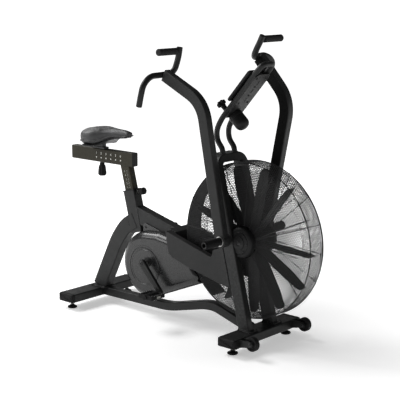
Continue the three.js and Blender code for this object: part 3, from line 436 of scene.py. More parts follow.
def band(line, w):
    """Outline of a strip of width w about a centre line."""
    L, R, n = [], [], len(line)
    for i in range(n):
        p = np.array(line[i], float)
        a = np.array(line[max(0, i - 1)], float)
        b = np.array(line[min(n - 1, i + 1)], float)
        d1, d2 = p - a, b - p
        if i == 0:
            d1 = d2
        if i == n - 1:
            d2 = d1
        d1 = d1 / np.linalg.norm(d1)
        d2 = d2 / np.linalg.norm(d2)
        n1, n2 = np.array([-d1[1], d1[0]]), np.array([-d2[1], d2[0]])
        m = n1 + n2
        k = 2 / float(m @ m)
        L.append(p + m * k * w / 2)
        R.append(p - m * k * w / 2)
    return L + R[::-1]


def soften(line, r, n=10):
    out = [np.array(line[0], float)]
    for i in range(1, len(line) - 1):
        p, a, b = (np.array(line[j], float) for j in (i, i - 1, i + 1))
        la, lb = np.linalg.norm(a - p), np.linalg.norm(b - p)
        t = min(r, la * 0.45, lb * 0.45)
        s, e = p + (a - p) / la * t, p + (b - p) / lb * t
        for k in range(n + 1):
            u = k / n
            out.append((1 - u) ** 2 * s + 2 * u * (1 - u) * p + u * u * e)
    out.append(np.array(line[-1], float))
    return out


def rot2(p, c, a):
    return (c[0] + (p[0] - c[0]) * math.cos(a) + (p[1] - c[1]) * math.sin(a), c[1] - (p[0] - c[0]) * math.sin(a) + (p[1] - c[1]) * math.cos(a))


def slabbox(bm, x0, x1, y0, y1, z0, z1, r=2.0, rc=None, axis="y", n=4):
    """Box in local mm with rounded corners rc in the section across axis, and edges rounded by r at its two ends."""
    rc = r if rc is None else rc
    if axis == "y":
        return pillow(bm, roundpoly([(x0, z0), (x1, z0), (x1, z1), (x0, z1)], rc, n), y0, y1, r, lambda u, v, w: M(u, w, v), n)
    if axis == "x":
        return pillow(bm, roundpoly([(y0, z0), (y1, z0), (y1, z1), (y0, z1)], rc, n), x0, x1, r, lambda u, v, w: M(w, u, v), n)
    return pillow(bm, roundpoly([(x0, y0), (x1, y0), (x1, y1), (x0, y1)], rc, n), z0, z1, r, lambda u, v, w: M(u, v, w), n)


def bolt(bm, p, d, r=6.0, h=4.0, hexa=True, washer=True):
    """Bolt head standing out from p along d."""
    if washer:
        lathe(bm, [(0, -0.6), (r * 1.45, -0.6), (r * 1.5, 0.2), (r * 1.45, 1.0), (0, 1.0)], p, d, 28)
    o = M(*p)
    dd = Vector(d).normalized()
    u = dd.orthogonal().normalized()
    v = dd.cross(u)
    if hexa:
        rings = []
        for rr, t in ((r, 0.8), (r, h - 0.8), (r * 0.9, h), (r * 0.5, h)):
            rings.append([o + dd * (t / 1000) + (u * math.cos(j * PI / 3) + v * math.sin(j * PI / 3)) * rr / 1000 for j in range(6)])
        loft(bm, rings)
    else:
        rings = []
        for rr, t, k in ((r, 0.6, 0), (r, h * 0.45, 0), (r * 0.86, h * 0.85, 0), (r * 0.56, h, 0)):
            rings.append([o + dd * (t / 1000) + (u * math.cos(j * PI / 12) + v * math.sin(j * PI / 12)) * rr / 1000 for j in range(24)])
        sock = []
        for t in (h, h * 0.35):
            sock.append([o + dd * (t / 1000) + (u * math.cos(j * PI / 12) + v * math.sin(j * PI / 12)) * (r * 0.48 * (1 - 0.067 * (1 - math.cos(6 * j * PI / 12)))) / 1000 for j in range(24)])
        loft(bm, rings + sock)
    return bm


def new():
    return bmesh.new()


# ------------------------------------------------------------------ camera, light, floor
a, e = math.radians(41.773), math.radians(11.449)
cam_d = bpy.data.cameras.new("view_camera")
cam_d.sensor_width = 36
cam_d.lens = 99.87
cam_d.clip_end = 500
cam = bpy.data.objects.new("view_camera", cam_d)
cam.location = (3.4265, -3.731, 1.622)
cam.rotation_euler = Vector((-math.sin(a) * math.cos(e), math.cos(a) * math.cos(e), -math.sin(e))).to_track_quat("-Z", "Y").to_euler()
bpy.context.scene.collection.objects.link(cam)
bpy.context.scene.camera = cam


def area(name, loc, target, size, power, sy=None, col=(1, 1, 1)):
    d = bpy.data.lights.new(name, "AREA")
    d.shape = "RECTANGLE"
    d.size = size
    d.size_y = sy or size
    d.energy = power
    d.color = col
    o = bpy.data.objects.new(name, d)
    o.location = loc
    o.rotation_euler = (Vector(target) - Vector(loc)).to_track_quat("-Z", "Y").to_euler()
    bpy.context.scene.collection.objects.link(o)
    return o


area("key_soft", (-3.0, -3.2, 2.6), (-0.1, 0, 0.6), 2.0, 62, 1.4)
area("top_soft", (-2.6, -0.8, 3.3), (-0.3, 0, 0.5), 1.8, 105, 1.5)
area("rim_left", (-4.0, 1.6, 2.6), (0, 0, 0.7), 1.6, 24)

world = bpy.data.worlds.new("studio")
world.use_nodes = True
wn_ = world.node_tree
bg = wn_.nodes["Background"]
wtc = wn_.nodes.new("ShaderNodeTexCoord")
wsx = wn_.nodes.new("ShaderNodeSeparateXYZ")
wn_.links.new(wtc.outputs["Generated"], wsx.inputs[0])
wr = ramp(wn_, wsx.outputs["Z"], [(0.0, (1.0, 1.0, 1.0)), (0.03, (0.9, 0.9, 0.9)), (0.14, (0.16, 0.16, 0.16)), (0.7, (0.09, 0.09, 0.09)), (1.0, (0.16, 0.16, 0.16))])
wn_.links.new(wr, bg.inputs[0])
bg.inputs[1].default_value = 1.0
bpy.context.scene.world = world
bpy.context.scene.view_settings.view_transform = "Standard"
bpy.context.scene.view_settings.look = "None"

fm = bpy.data.materials.new("floor_white")
fm.use_nodes = True
fp = fm.node_tree.nodes["Principled BSDF"]
ftc = fm.node_tree.nodes.new("ShaderNodeTexCoord")
fn = noise(fm.node_tree, ftc.outputs["Object"], 0.6, 2.0, 0.5)
fm.node_tree.links.new(ramp(fm.node_tree, fn, [(0.2, (0.86, 0.86, 0.86)), (0.8, (0.90, 0.90, 0.90))]), fp.inputs["Base Color"])
fp.inputs["Roughness"].default_value = 0.75
fgr = fm.node_tree.nodes.new("ShaderNodeVectorMath")
fgr.operation = "LENGTH"
fm.node_tree.links.new(ftc.outputs["Object"], fgr.inputs[0])
fdiv = fm.node_tree.nodes.new("ShaderNodeMath")
fdiv.operation = "DIVIDE"
fdiv.inputs[1].default_value = 4.0
fm.node_tree.links.new(fgr.outputs["Value"], fdiv.inputs[0])
fm.node_tree.links.new(ramp(fm.node_tree, fdiv.outputs[0], [(0.12, (0.42, 0.42, 0.42)), (0.30, (0.72, 0.72, 0.72)), (0.62, (1.02, 1.02, 1.02))]), fp.inputs["Emission Color"])
fp.inputs["Emission Strength"].default_value = 1.0
fp.inputs["Specular IOR Level"].default_value = 0.2
bm = new()
bmesh.ops.create_grid(bm, x_segments=2, y_segments=2, size=220)
fme = bpy.data.meshes.new("floor")
bm.to_mesh(fme)
bm.free()
fme.materials.append(fm)
fl = bpy.data.objects.new("floor", fme)
fl.location = (0, 0, -0.0005)
bpy.context.scene.collection.objects.link(fl)

# ------------------------------------------------------------------ dimensions shared with the solids
FAN_Z, FAN_R, FAN_W, BAND_W = 473.0, 350.0, 65.0, 42.7
STAB_Z0, STAB_Z1, STAB_W = 37.0, 79.0, 98.0
FRONT_X, REAR_X = 47.0, -996.0
LEG_IN, LEG_OUT, LEG_W, RAKE, LEG_X0 = 68.0, 104.0, 62.0, 0.25, 37.0
PIV = (-49.0, 485.0)
LEAN = math.radians(14.6)
CR = (-580.0, 284.0)
CL = 170.0
CA = math.radians(-46)
NL = (math.cos(LEAN), math.sin(LEAN))


def ax(s):
    return (-727 - math.sin(LEAN) * s, 480 + math.cos(LEAN) * s)


def legX(z):
    return LEG_X0 - RAKE * (z - STAB_Z1)


def polar(r, deg, c=(0, FAN_Z)):
    return (c[0] + r * math.cos(math.radians(deg)), c[1] + r * math.sin(math.radians(deg)))


# ------------------------------------------------------------------ fan cage: perforated sheet as real holes
def honeycomb(name, cells, mapping, web, t, mat, body, slot, rep):
    """cells: set of (i, j) axial indices. mapping(u, v) in mm gives (point, normal), both local mm. web is the share of the cell that is hole."""
    pitch = honeycomb.pitch
    R = pitch / math.sqrt(3)
    key = {}
    U = []

    def vid(u, v):
        k = (round(u, 2), round(v, 2))
        if k not in key:
            key[k] = len(U)
            U.append((u, v))
        return key[k]
    faces = []
    edges = {}
    holes = []
    for (i, j) in cells:
        cu, cv = pitch * (i + j / 2), R * 1.5 * j
        o = [vid(cu + R * math.cos(PI / 6 + k * PI / 3), cv + R * math.sin(PI / 6 + k * PI / 3)) for k in range(6)]
        h = []
        for k in range(6):
            h.append(len(U))
            U.append((cu + R * web * math.cos(PI / 6 + k * PI / 3), cv + R * web * math.sin(PI / 6 + k * PI / 3)))
        for k in range(6):
            m = (k + 1) % 6
            faces.append((o[k], o[m], h[m], h[k]))
            ek = (o[k], o[m])
            rk = (o[m], o[k])
            if rk in edges:
                del edges[rk]
            else:
                edges[ek] = 1
            holes.append((h[k], h[m]))
    n = len(U)
    top, bot = [], []
    for (u, v) in U:
        p, q = mapping(u, v)
        top.append(((p[0] + q[0] * t / 2 + OX) / 1000, (p[1] + q[1] * t / 2) / 1000, (p[2] + q[2] * t / 2) / 1000))
        bot.append(((p[0] - q[0] * t / 2 + OX) / 1000, (p[1] - q[1] * t / 2) / 1000, (p[2] - q[2] * t / 2) / 1000))
    F = list(faces) + [tuple(n + k for k in f[::-1]) for f in faces]
    F += [(h0, h1, n + h1, n + h0) for h0, h1 in holes]
    F += [(b, a_, n + a_, n + b) for (a_, b) in edges]
    me = bpy.data.meshes.new(name)
    me.from_pydata(top + bot, [], F)
    me.validate()
    me.materials.append(mat)
    o = bpy.data.objects.new(name, me)
    bpy.context.scene.collection.objects.link(o)
    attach(o, body)
    if rep:
        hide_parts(rep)
    return o


honeycomb.pitch = 9.0
HR = honeycomb.pitch / math.sqrt(3)
flat = []
for j in range(-60, 61):
    for i in range(-90, 91):
        u, v = honeycomb.pitch * (i + j / 2), HR * 1.5 * j
        rr = math.hypot(u, v)
        if 76 <= rr <= 323:
            flat.append((i, j))
for s, side in ((-1, "right"), (1, "left")):
    def fmap(u, v, s=s):
        return (u, s * (FAN_W - 0.7), FAN_Z + v), (0, s, 0)
    cells = flat
    if s > 0:
        # the belt passes through a slot in the drive-side face
        dx, dz = -CR[0], FAN_Z - CR[1]
        cells = []
        for (i, j) in flat:
            u, v = honeycomb.pitch * (i + j / 2), HR * 1.5 * j
            t = ((u) * (-dx) + v * (-dz)) / math.hypot(dx, dz)
            dist = abs(u * (-dz) - v * (-dx)) / math.hypot(dx, dz)
            if t > 0 and dist < 38 + t * 0.085:
                continue
            cells.append((i, j))
    honeycomb("cage_mesh_" + side, cells, fmap, 0.775, 1.1, CAGE, FRAME, "cage_paint", "cage_guard_" + side)

# shoulders and band in one wrap: profile by arc length
prof = [(-1, 323.0, 64.3), (0, 326.0, 64.3)]
shoulder = catmull([(326.0, 64.3), (338.0, 61.2), (345.6, 54.0), (349.0, 44.0), (349.3, 36.0)], 8)
S = [np.array((322.0, -64.3))] + [np.array((p[0], -p[1])) for p in shoulder] + [np.array(p) for p in shoulder[::-1]] + [np.array((322.0, 64.3))]
L = [0.0]
for i in range(1, len(S)):
    L.append(L[-1] + float(np.linalg.norm(S[i] - S[i - 1])))
TOT = L[-1]


def prof_at(s):
    s = min(max(s, 0.0), TOT)
    k = int(np.searchsorted(L, s))
    k = min(max(k, 1), len(S) - 1)
    f = (s - L[k - 1]) / max(1e-9, L[k] - L[k - 1])
    p = S[k - 1] * (1 - f) + S[k] * f
    d = S[k] - S[k - 1]
    d = d / max(1e-9, np.linalg.norm(d))
    return p, (d[1], -d[0])


NC = round(2 * PI * 348 / honeycomb.pitch)
rows = int(TOT / (HR * 1.5))
row_pitch = TOT / (rows + 0.34)


def wrap_map(u, v):
    th = u / (NC * honeycomb.pitch) * 2 * PI
    s = v * (row_pitch / (HR * 1.5)) + row_pitch * 0.67
    p, q = prof_at(s)
    r, y = p
    nr, ny = q
    return (r * math.cos(th), y, FAN_Z + r * math.sin(th)), (nr * math.cos(th), ny, nr * math.sin(th))


wrapA, wrapB = [], []
for j in range(rows):
    for c in range(NC):
        i = c - j // 2
        u = honeycomb.pitch * (i + j / 2)
        deg = (u / (NC * honeycomb.pitch) * 360) % 360
        p, q = prof_at((j + 0.67) * row_pitch)
        if 122.5 < deg < 235.5 and abs(p[1]) < BAND_W + 3:
            continue
        (wrapA if deg < 180 else wrapB).append((i, j))
honeycomb("cage_band_mesh_upper", wrapA, wrap_map, 0.775, 1.1, CAGE, FRAME, "cage_paint", "cage_band")
honeycomb("cage_band_mesh_lower", wrapB, wrap_map, 0.775, 1.1, CAGE, FRAME, "cage_paint", None)


def ring_tube(name, r, y, rad, mat, a0=0, a1=360, seg=10, steps=144):
    bm = new()
    full = a1 - a0 >= 360
    n = steps if full else max(6, int(steps * (a1 - a0) / 360))
    pts = [M(r * math.cos(math.radians(a0 + (a1 - a0) * k / n)), y, FAN_Z + r * math.sin(math.radians(a0 + (a1 - a0) * k / n))) for k in range(n if full else n + 1)]
    sweep(bm, pts, rad / 1000, seg, closed=full)
    return put(name, bm, mat, FRAME, wn=False)


bm = new()
for s in (-1, 1):
    for r, rad in ((325.5, 0.8), (75.0, 2.6)):
        pts = [M(r * math.cos(2 * PI * k / 144), s * (FAN_W - 0.4 if r > 100 else FAN_W - 1.2), FAN_Z + r * math.sin(2 * PI * k / 144)) for k in range(144)]
        sweep(bm, pts, rad / 1000, 8, closed=True)
put("cage_face_rings", bm, RIM, FRAME, wn=False, weld=0)
bm = new()
for s in (-1, 1):
    pts = [M(349.4 * math.cos(2 * PI * k / 160), s * 43.2, FAN_Z + 349.4 * math.sin(2 * PI * k / 160)) for k in range(160)]
    sweep(bm, pts, 0.0021, 8, closed=True)
put("cage_rim_rings", bm, RIM, FRAME, wn=False, weld=0)

# pressed ribs: thin radial wires that wrap over the shoulder
bm = new()
for s in (-1, 1):
    for k in range(16):
        deg = 18 + 22.5 * k
        th = math.radians(deg)
        pr = [(72, 65.6), (150, 65.6), (240, 65.6), (318, 65.6), (328, 65.2), (338.6, 62.2), (346.2, 54.6), (349.8, 45)]
        pts = [M(r * math.cos(th), s * y, FAN_Z + r * math.sin(th)) for r, y in pr]
        if s > 0 and 190 < deg % 360 < 225:
            continue
        P = catmull([tuple(p) for p in pts], 4)
        sweep(bm, P, 0.0016, 8)
put("cage_ribs", bm, RIM, FRAME, wn=False, weld=0)

# wind guard: opaque band on the rider's side, with a turned lip and three screws
bm = new()
prof = [(349.8, -43.2), (350.0, -41), (350.0, 41), (349.8, 43.2), (345.5, 43.6), (345.0, 41), (346.8, 38), (346.8, -38), (345.0, -41), (345.5, -43.6)]
rings = []
for k in range(73):
    th = math.radians(122.2 + (235.8 - 122.2) * k / 72)
    rings.append([M(r * math.cos(th), y, FAN_Z + r * math.sin(th)) for r, y in prof])
loft(bm, rings)
put("wind_guard_band", bm, GUARD, FRAME, "wind_guard")
bm = new()
for deg in (128, 179, 230):
    for y in (-30, 30):
        x, z = polar(349.6, deg)
        bolt(bm, (x, y, z), (math.cos(math.radians(deg)), 0, math.sin(math.radians(deg))), 3.2, 1.6, hexa=False, washer=False)
put("wind_guard_screws", bm, BOLT, FRAME)

# ------------------------------------------------------------------ fan wheel
bm = new()
lathe(bm, [(10.4, -38), (42, -38), (45, -36.5), (46, -34), (46, 34), (45, 36.5), (42, 38), (10.4, 38), (10.4, -38)], (0, 0, FAN_Z), (0, 1, 0), 56)
put("fan_hub", bm, FANP, "fan", "fan_wheel")
bm = new()
for i in range(13):
    A = math.radians(23.3 + 360 / 13 * i)
    ca, sa = math.cos(A), math.sin(A)
    out = roundpoly([(43, -25), (110, -37), (250, -39), (330, -28), (330, 28), (250, 39), (110, 37), (43, 25)], [3, 30, 40, 16, 16, 40, 30, 3], 7)
    pillow(bm, out, -1.5, 1.5, 0.8, lambda u, v, w, ca=ca, sa=sa: M(u * ca - w * sa, v, FAN_Z + u * sa + w * ca), 2)
    # stiffening bead along the middle of the paddle and its root bracket
    bead = roundpoly([(60, -3.2), (300, -3.2), (300, 3.2), (60, 3.2)], 3, 4)
    pillow(bm, bead, -2.6, 2.6, 1.0, lambda u, v, w, ca=ca, sa=sa: M(u * ca - w * sa, v, FAN_Z + u * sa + w * ca), 2)
    root = roundpoly([(42, -20), (78, -20), (78, 20), (42, 20)], 5, 4)
    pillow(bm, root, -3.4, 3.4, 1.0, lambda u, v, w, ca=ca, sa=sa: M(u * ca - w * sa, v, FAN_Z + u * sa + w * ca), 2)
put("fan_paddles", bm, FANP, "fan", weld=0)
bm = new()
for i in range(13):
    A = math.radians(23.3 + 360 / 13 * i)
    ca, sa = math.cos(A), math.sin(A)
    for y in (-12, 12):
        for t in (-1, 1):
            p = (66 * ca - t * 3.2 * sa, y, FAN_Z + 66 * sa + t * 3.2 * ca)
            bolt(bm, p, (-sa * t, 0, ca * t), 3.4, 2.2, hexa=False, washer=False)
put("fan_paddle_screws", bm, BOLT, "fan", weld=0)

# hub covers on both sides: round bearing housing cut flat against the leg
for s, side in ((-1, "right"), (1, "left")):
    bm = new()
    lathe(bm, [(10.3, 66.3), (66, 66.3), (68, 68), (68, 86), (66.5, 90), (62, 93.5), (57, 96), (54, 96.4), (52, 94.6), (50, 94.6), (48, 96.8), (34, 98), (31, 98.4), (30, 101), (12, 101), (10.3, 99.5), (10.3, 66.3)], (0, 0, FAN_Z), (0, s, 0), 96)
    # keep the half in front of the leg
    x0 = legX(FAN_Z) + LEG_W / 2 + 0.5
    nrm = Vector((-1, 0, -RAKE)).normalized()
    geom = list(bm.verts) + list(bm.edges) + list(bm.faces)
    res = bmesh.ops.bisect_plane(bm, geom=geom, plane_co=M(x0, 0, FAN_Z), plane_no=nrm, clear_outer=True)
    cutE = [g for g in res["geom_cut"] if isinstance(g, bmesh.types.BMEdge)]
    bmesh.ops.holes_fill(bm, edges=[e_ for e_ in bm.edges if e_.is_boundary], sides=0)
    hub = put("hub_cover_" + side, bm, PLASTIC_D, FRAME, "hub_bracket_" + side, sharp=35)
    bm = new()
    for deg in (-55, 0, 55):
        x, z = polar(43, deg)
        bolt(bm, (x, s * 97.2, z), (0, s, 0), 4.2, 3.4, hexa=False, washer=False)
    lathe(bm, [(0, 98), (9.8, 98), (9.8, 100.6), (8.6, 101.6), (0, 101.6)], (0, 0, FAN_Z), (0, s, 0), 32)
    put("hub_bolts_" + side, bm, BOLT, FRAME)

# ------------------------------------------------------------------ front hoop
bm = new()


def hoop_pts(w, top, r, n=12):
    o = [(-w, 0)]
    for i in range(n + 1):
        t = PI - i * PI / 2 / n
        o.append((-w + r + r * math.cos(t), top - r + r * math.sin(t)))
    for i in range(n + 1):
        t = PI / 2 - i * PI / 2 / n
        o.append((w - r + r * math.cos(t), top - r + r * math.sin(t)))
    o.append((w, 0))
    return o


H = 769
outline = hoop_pts(LEG_OUT, H, 56) + hoop_pts(LEG_IN, H - 36, 14)[::-1]
pillow(bm, outline, 0, LEG_W, 4.5, lambda u, v, w: M(LEG_X0 - LEG_W / 2 - RAKE * v + w, u, STAB_Z1 + 0.3 + v), 4)
put("hoop_tube", bm, PAINT, FRAME, "front_hoop")
# weld beads and base plates of the legs
bm = new()
for s in (-1, 1):
    y0, y1 = sorted((s * 56, s * 116))
    slabbox(bm, 8, 84, y0, y1, STAB_Z1, STAB_Z1 + 5, 1.2, 6, axis="z", n=3)
put("leg_base_plates", bm, PAINT2, FRAME)
bm = new()
for s in (-1, 1):
    for x in (14, 78):
        for y in (60.5, 111.5):
            if x == 14 and y > 100:
                pass
            bolt(bm, (x, s * y, STAB_Z1 + 5), (0, 0, 1), 4.0, 3.4, hexa=False, washer=False)
put("leg_base_bolts", bm, BOLT, FRAME)


def bead(bm, pts, r=0.0022, seg=6):
    P = [Vector(p) for p in pts]
    sweep(bm, P, r, seg)


bm = new()
for s in (-1, 1):
    for zz in (STAB_Z1 + 5.5,):
        cx = legX(zz)
        ring = roundpoly([(cx - 31, s * 68), (cx + 31, s * 68), (cx + 31, s * 104), (cx - 31, s * 104)], 5, 3)
        sweep(bm, [M(p[0], p[1], zz) for p in ring], 0.0024, 6, closed=True)
put("leg_weld_beads", bm, PAINT, FRAME, wn=False)

# fork plates: a flat cheek with a turned edge, outside the legs
profF = [(-439, 463), (-155, 384), (-146, 418), (legX(440) - 31.4, 440), (legX(262) - 31.4, 262), (-100, 268), (-149, 281), (-283, 309), (-395, 341), (-420, 360)]
for s, side in ((-1, "right"), (1, "left")):
    bm = new()
    o = ccw(roundpoly(profF, [5, 8, 4, 1.5, 1.5, 12, 6, 6, 6, 6], 4))
    inner = inset(o, 3)
    rings = [(o, 76), (inset(o, 0), 100.5), (inset(o, 0.6), 102.6), (inset(o, 1.9), 103.8), (inset(o, 3.2), 104)]
    rr = [[M(p[0], s * y, p[1]) for p in q] for q, y in rings]
    back = [[M(p[0], s * y, p[1]) for p in q] for q, y in ((inner, 76), (inner, 100.8))]
    loft(bm, [back[1], back[0]] + rr)
    put("fork_cheek_" + side, bm, PAINT2, FRAME, "fork_plate_" + side)

# ------------------------------------------------------------------ stabilisers
for nm, cx, half in (("front", FRONT_X, 238.0), ("rear", REAR_X, 236.0)):
    bm = new()
    slabbox(bm, cx - 49, cx + 49, -(half - 22), half - 22, STAB_Z0, STAB_Z1, 0.4, 6, axis="y", n=5)
    put(nm + "_beam", bm, PAINT, FRAME, nm + "_stabilizer")
    for s, side in ((-1, "right"), (1, "left")):
        bm = new()
        sec = roundpoly([(cx - 49, STAB_Z0), (cx + 49, STAB_Z0), (cx + 49, STAB_Z1), (cx - 49, STAB_Z1)], 6.5, 5)
        sec = ccw(sec)
        rings = []
        for k, y in ((-0.5, half - 21.8), (-0.8, half - 20.5), (-0.8, half - 17), (0, half - 16), (0, half - 9), (0.8, half - 5), (3.0, half - 2), (6.5, half - 0.4), (9.5, half)):
            rings.append([M(p[0], s * y, p[1]) for p in inset(sec, k)])
        loft(bm, rings)
        put(nm + "_cap_" + side, bm, RUBBER, FRAME, nm + "_end_cap_" + side)
        bm = new()
        y = s * 190
        lathe(bm, [(0, 0), (20.5, 0), (22.4, 1.2), (23, 3), (23, 7), (21.8, 9), (17, 11), (12, 13.4), (10, 14.5), (10, 18), (0, 18)], (cx, y, 0), (0, 0, 1), 44)
        for k in range(24):
            t = 2 * PI * k / 24
            slabx = 22.6
            lathe(bm, [(0, 2.5), (1.3, 2.6), (1.3, 7.4), (0, 7.5)], (cx + slabx * math.cos(t), y + slabx * math.sin(t), 0), (0, 0, 1), 6)
        ft = put(nm + "_foot_pad_" + side, bm, RUBBER, "foot_" + nm + "_" + side, nm + "_foot_" + side)
        bm = new()
        pr = [(0, 17.5), (5, 17.5)]
        z = 18.0
        while z < 36:
            pr += [(5, z), (4.3, z + 0.6), (5, z + 1.2)]
            z += 1.3
        pr += [(5, 37), (0, 37)]
        lathe(bm, pr, (cx, y, 0), (0, 0, 1), 24)
        bolt(bm, (cx, y, 29), (0, 0, 1), 9.2, 7, hexa=True, washer=False)
        put(nm + "_foot_stem_" + side, bm, STEEL, "foot_" + nm + "_" + side)
# rear mounting plate and bolts
bm = new()
slabbox(bm, -1020, -925, -44, 44, STAB_Z1, STAB_Z1 + 4.5, 1.2, 8, axis="z", n=3)
put("rear_mount_plate", bm, PAINT2, FRAME)
bm = new()
for x in (-1012, -933):
    for y in (-36, 36):
        bolt(bm, (x, y, STAB_Z1 + 4.5), (0, 0, 1), 5.4, 4.4, hexa=True)
put("rear_mount_bolts", bm, BOLT, FRAME)

# transport wheels and their lugs
for s, side in ((-1, "right"), (1, "left")):
    for t in (-1, 1):
        bm = new()
        yc = s * 187 + t * 17
        lug = roundpoly([(94, 42), (94, 78), (150, 82.5), (166, 77), (168.5, 66), (163, 57), (150, 54)], [1, 1, 8, 9, 9, 9, 6], 4)
        pillow(bm, lug, yc - 1.6, yc + 1.6, 0.7, XZ, 2)
        put("wheel_lug_%s_%s" % (side, "outer" if t * s > 0 else "inner"), bm, PAINT, FRAME)
    bm = new()
    y = s * 187
    lathe(bm, [(22.2, -9), (24, -11.4), (29.4, -12), (31, -11), (32, -8.5), (32, -1.2), (31.4, 0), (32, 1.2), (32, 8.5), (31, 11), (29.4, 12), (24, 11.4), (22.2, 9), (22.2, -9)], (156, y, 68), (0, 1, 0), 56)
    put("wheel_tyre_" + side, bm, RUBBER, "wheel_" + side, "transport_wheel_" + side)
    bm = new()
    lathe(bm, [(4.4, -12), (9.5, -12), (10.5, -11), (11, -8), (12, -6.4), (20, -6), (22.4, -8), (22.4, 8), (20, 6), (12, 6.4), (11, 8), (10.5, 11), (9.5, 12), (4.4, 12), (4.4, -12)], (156, y, 68), (0, 1, 0), 48)
    for k in range(6):
        t = 2 * PI * k / 6
        for q in (-1, 1):
            rib = [(156 + r * math.cos(t) - w * math.sin(t), 68 + r * math.sin(t) + w * math.cos(t)) for r, w in ((10.5, -1.6), (22, -1.6), (22, 1.6), (10.5, 1.6))]
            pillow(bm, rib, *sorted((y + q * 6, y + q * 8.6)), 0.5, XZ, 2)
    put("wheel_rim_" + side, bm, PLASTIC_D, "wheel_" + side, weld=0)
    bm = new()
    for q in (-1, 1):
        bolt(bm, (156, y + q * 18.6, 68), (0, q, 0), 6.2, 5, hexa=True)
    sweep(bm, [M(156, y - 18.6, 68), M(156, y + 18.6, 68)], 0.004, 20)
    put("wheel_axle_bolt_" + side, bm, BOLT, FRAME)

# ------------------------------------------------------------------ rear post, seat tube, top tube, link tube
bm = new()
line = soften([(-978, 79.3), (-846, 342), (-783, 420), (-716, 458)], 60, 12)
o = band(line, 80)
pillow(bm, o, -27, 27, 5, XZ, 4)
geom = list(bm.verts) + list(bm.edges) + list(bm.faces)
bmesh.ops.bisect_plane(bm, geom=geom, plane_co=M(0, 0, 79.2), plane_no=(0, 0, -1), clear_outer=True)
bmesh.ops.holes_fill(bm, edges=[e_ for e_ in bm.edges if e_.is_boundary], sides=0)
put("rear_post_tube", bm, PAINT, FRAME, "rear_post")
bm = new()
pillow(bm, band([ax(-84), ax(124)], 74), -25, 25, 5, XZ, 4)
put("seat_sleeve", bm, PAINT, FRAME, "seat_tube")
# plastic bush collar at the mouth of the sleeve
bm = new()
o = roundpoly(band([ax(120.5), ax(126.5)], 76), 2.0, 3)
pillow(bm, o, -26, 26, 2.2, XZ, 3)
put("sleeve_collar", bm, PLASTIC_D, FRAME)
bm = new()
pillow(bm, band([(-712, 490), (-410, 411)], 78), -26, 26, 5, XZ, 4)
# butt end in line with the front wall of the sleeve, so that the bore stays open
geom = list(bm.verts) + list(bm.edges) + list(bm.faces)
k = ax(0)
bmesh.ops.bisect_plane(bm, geom=geom, plane_co=M(k[0] + NL[0] * 31, 0, k[1] + NL[1] * 31), plane_no=(-NL[0], 0, -NL[1]), clear_outer=True)
bmesh.ops.holes_fill(bm, edges=[e_ for e_ in bm.edges if e_.is_boundary], sides=0)
put("top_tube_beam", bm, PAINT, FRAME, "top_tube")
bm = new()
o = roundpoly([(-446, 469), (-398, 457), (-374, 395), (-392, 345), (-428, 352)], 6, 4)
pillow(bm, o, -73.7, 73.7, 3, XZ, 3)
put("top_tube_crown", bm, PAINT, FRAME)
bm = new()
line = soften([(REAR_X + 49.3, 59), (-500, 63), (-272, 119), (-212, 122), (FRONT_X - 40, 58)], 60, 12)
pillow(bm, band(line, 40), -22, 22, 4, XZ, 4)
geom = list(bm.verts) + list(bm.edges) + list(bm.faces)
bmesh.ops.bisect_plane(bm, geom=geom, plane_co=M(FRONT_X - 48.6, 0, 0), plane_no=(1, 0, 0), clear_outer=True)
bmesh.ops.holes_fill(bm, edges=[e_ for e_ in bm.edges if e_.is_boundary], sides=0)
put("link_beam", bm, PAINT, FRAME, "link_tube")
# weld beads where tubes meet
bm = new()
for s in (-1, 1):
    sweep(bm, [M(*p) for p in [(ax(-50)[0] - 36, s * 26, ax(-50)[1] - 9), (ax(-20)[0] - 37, s * 26, ax(-20)[1] - 10)]], 0.002, 6)
    sweep(bm, [M(ax(-40)[0] + 37.5, s * 25.4, ax(-40)[1] - 2), M(ax(36)[0] + 37.5, s * 25.4, ax(36)[1] + 8)], 0.0025, 6)
put("weld_beads", bm, PAINT, FRAME, wn=False, weld=0)

# ------------------------------------------------------------------ shroud: two moulded shells
cx, cz = -600.0, 262.0
arcN = 56
base = [(cx + 162 * math.cos(math.radians(96 + 184 * i / arcN)), cz + 162 * math.sin(math.radians(96 + 184 * i / arcN))) for i in range(arcN + 1)]
corners = [(-222, 246), (-287, 309), (-300, 380), (-440, 417), (-530, 430)]
crad = [16, 10, 14, 60, 60]
low = [(-560 + 30 * k + 0.0, None) for k in range(0)]
base += corners


def shroud_ring(k, y, s):
    q = inset(base, k)
    arcp = q[:arcN + 1]
    tail = q[arcN + 1:]
    pts, rad = [], []
    full = arcp + tail
    R = [0] * (arcN + 1) + [max(3.0, c) for c in crad]
    r2 = roundpoly(full, R, 8)
    return [M(p[0], s * y, p[1]) for p in r2]


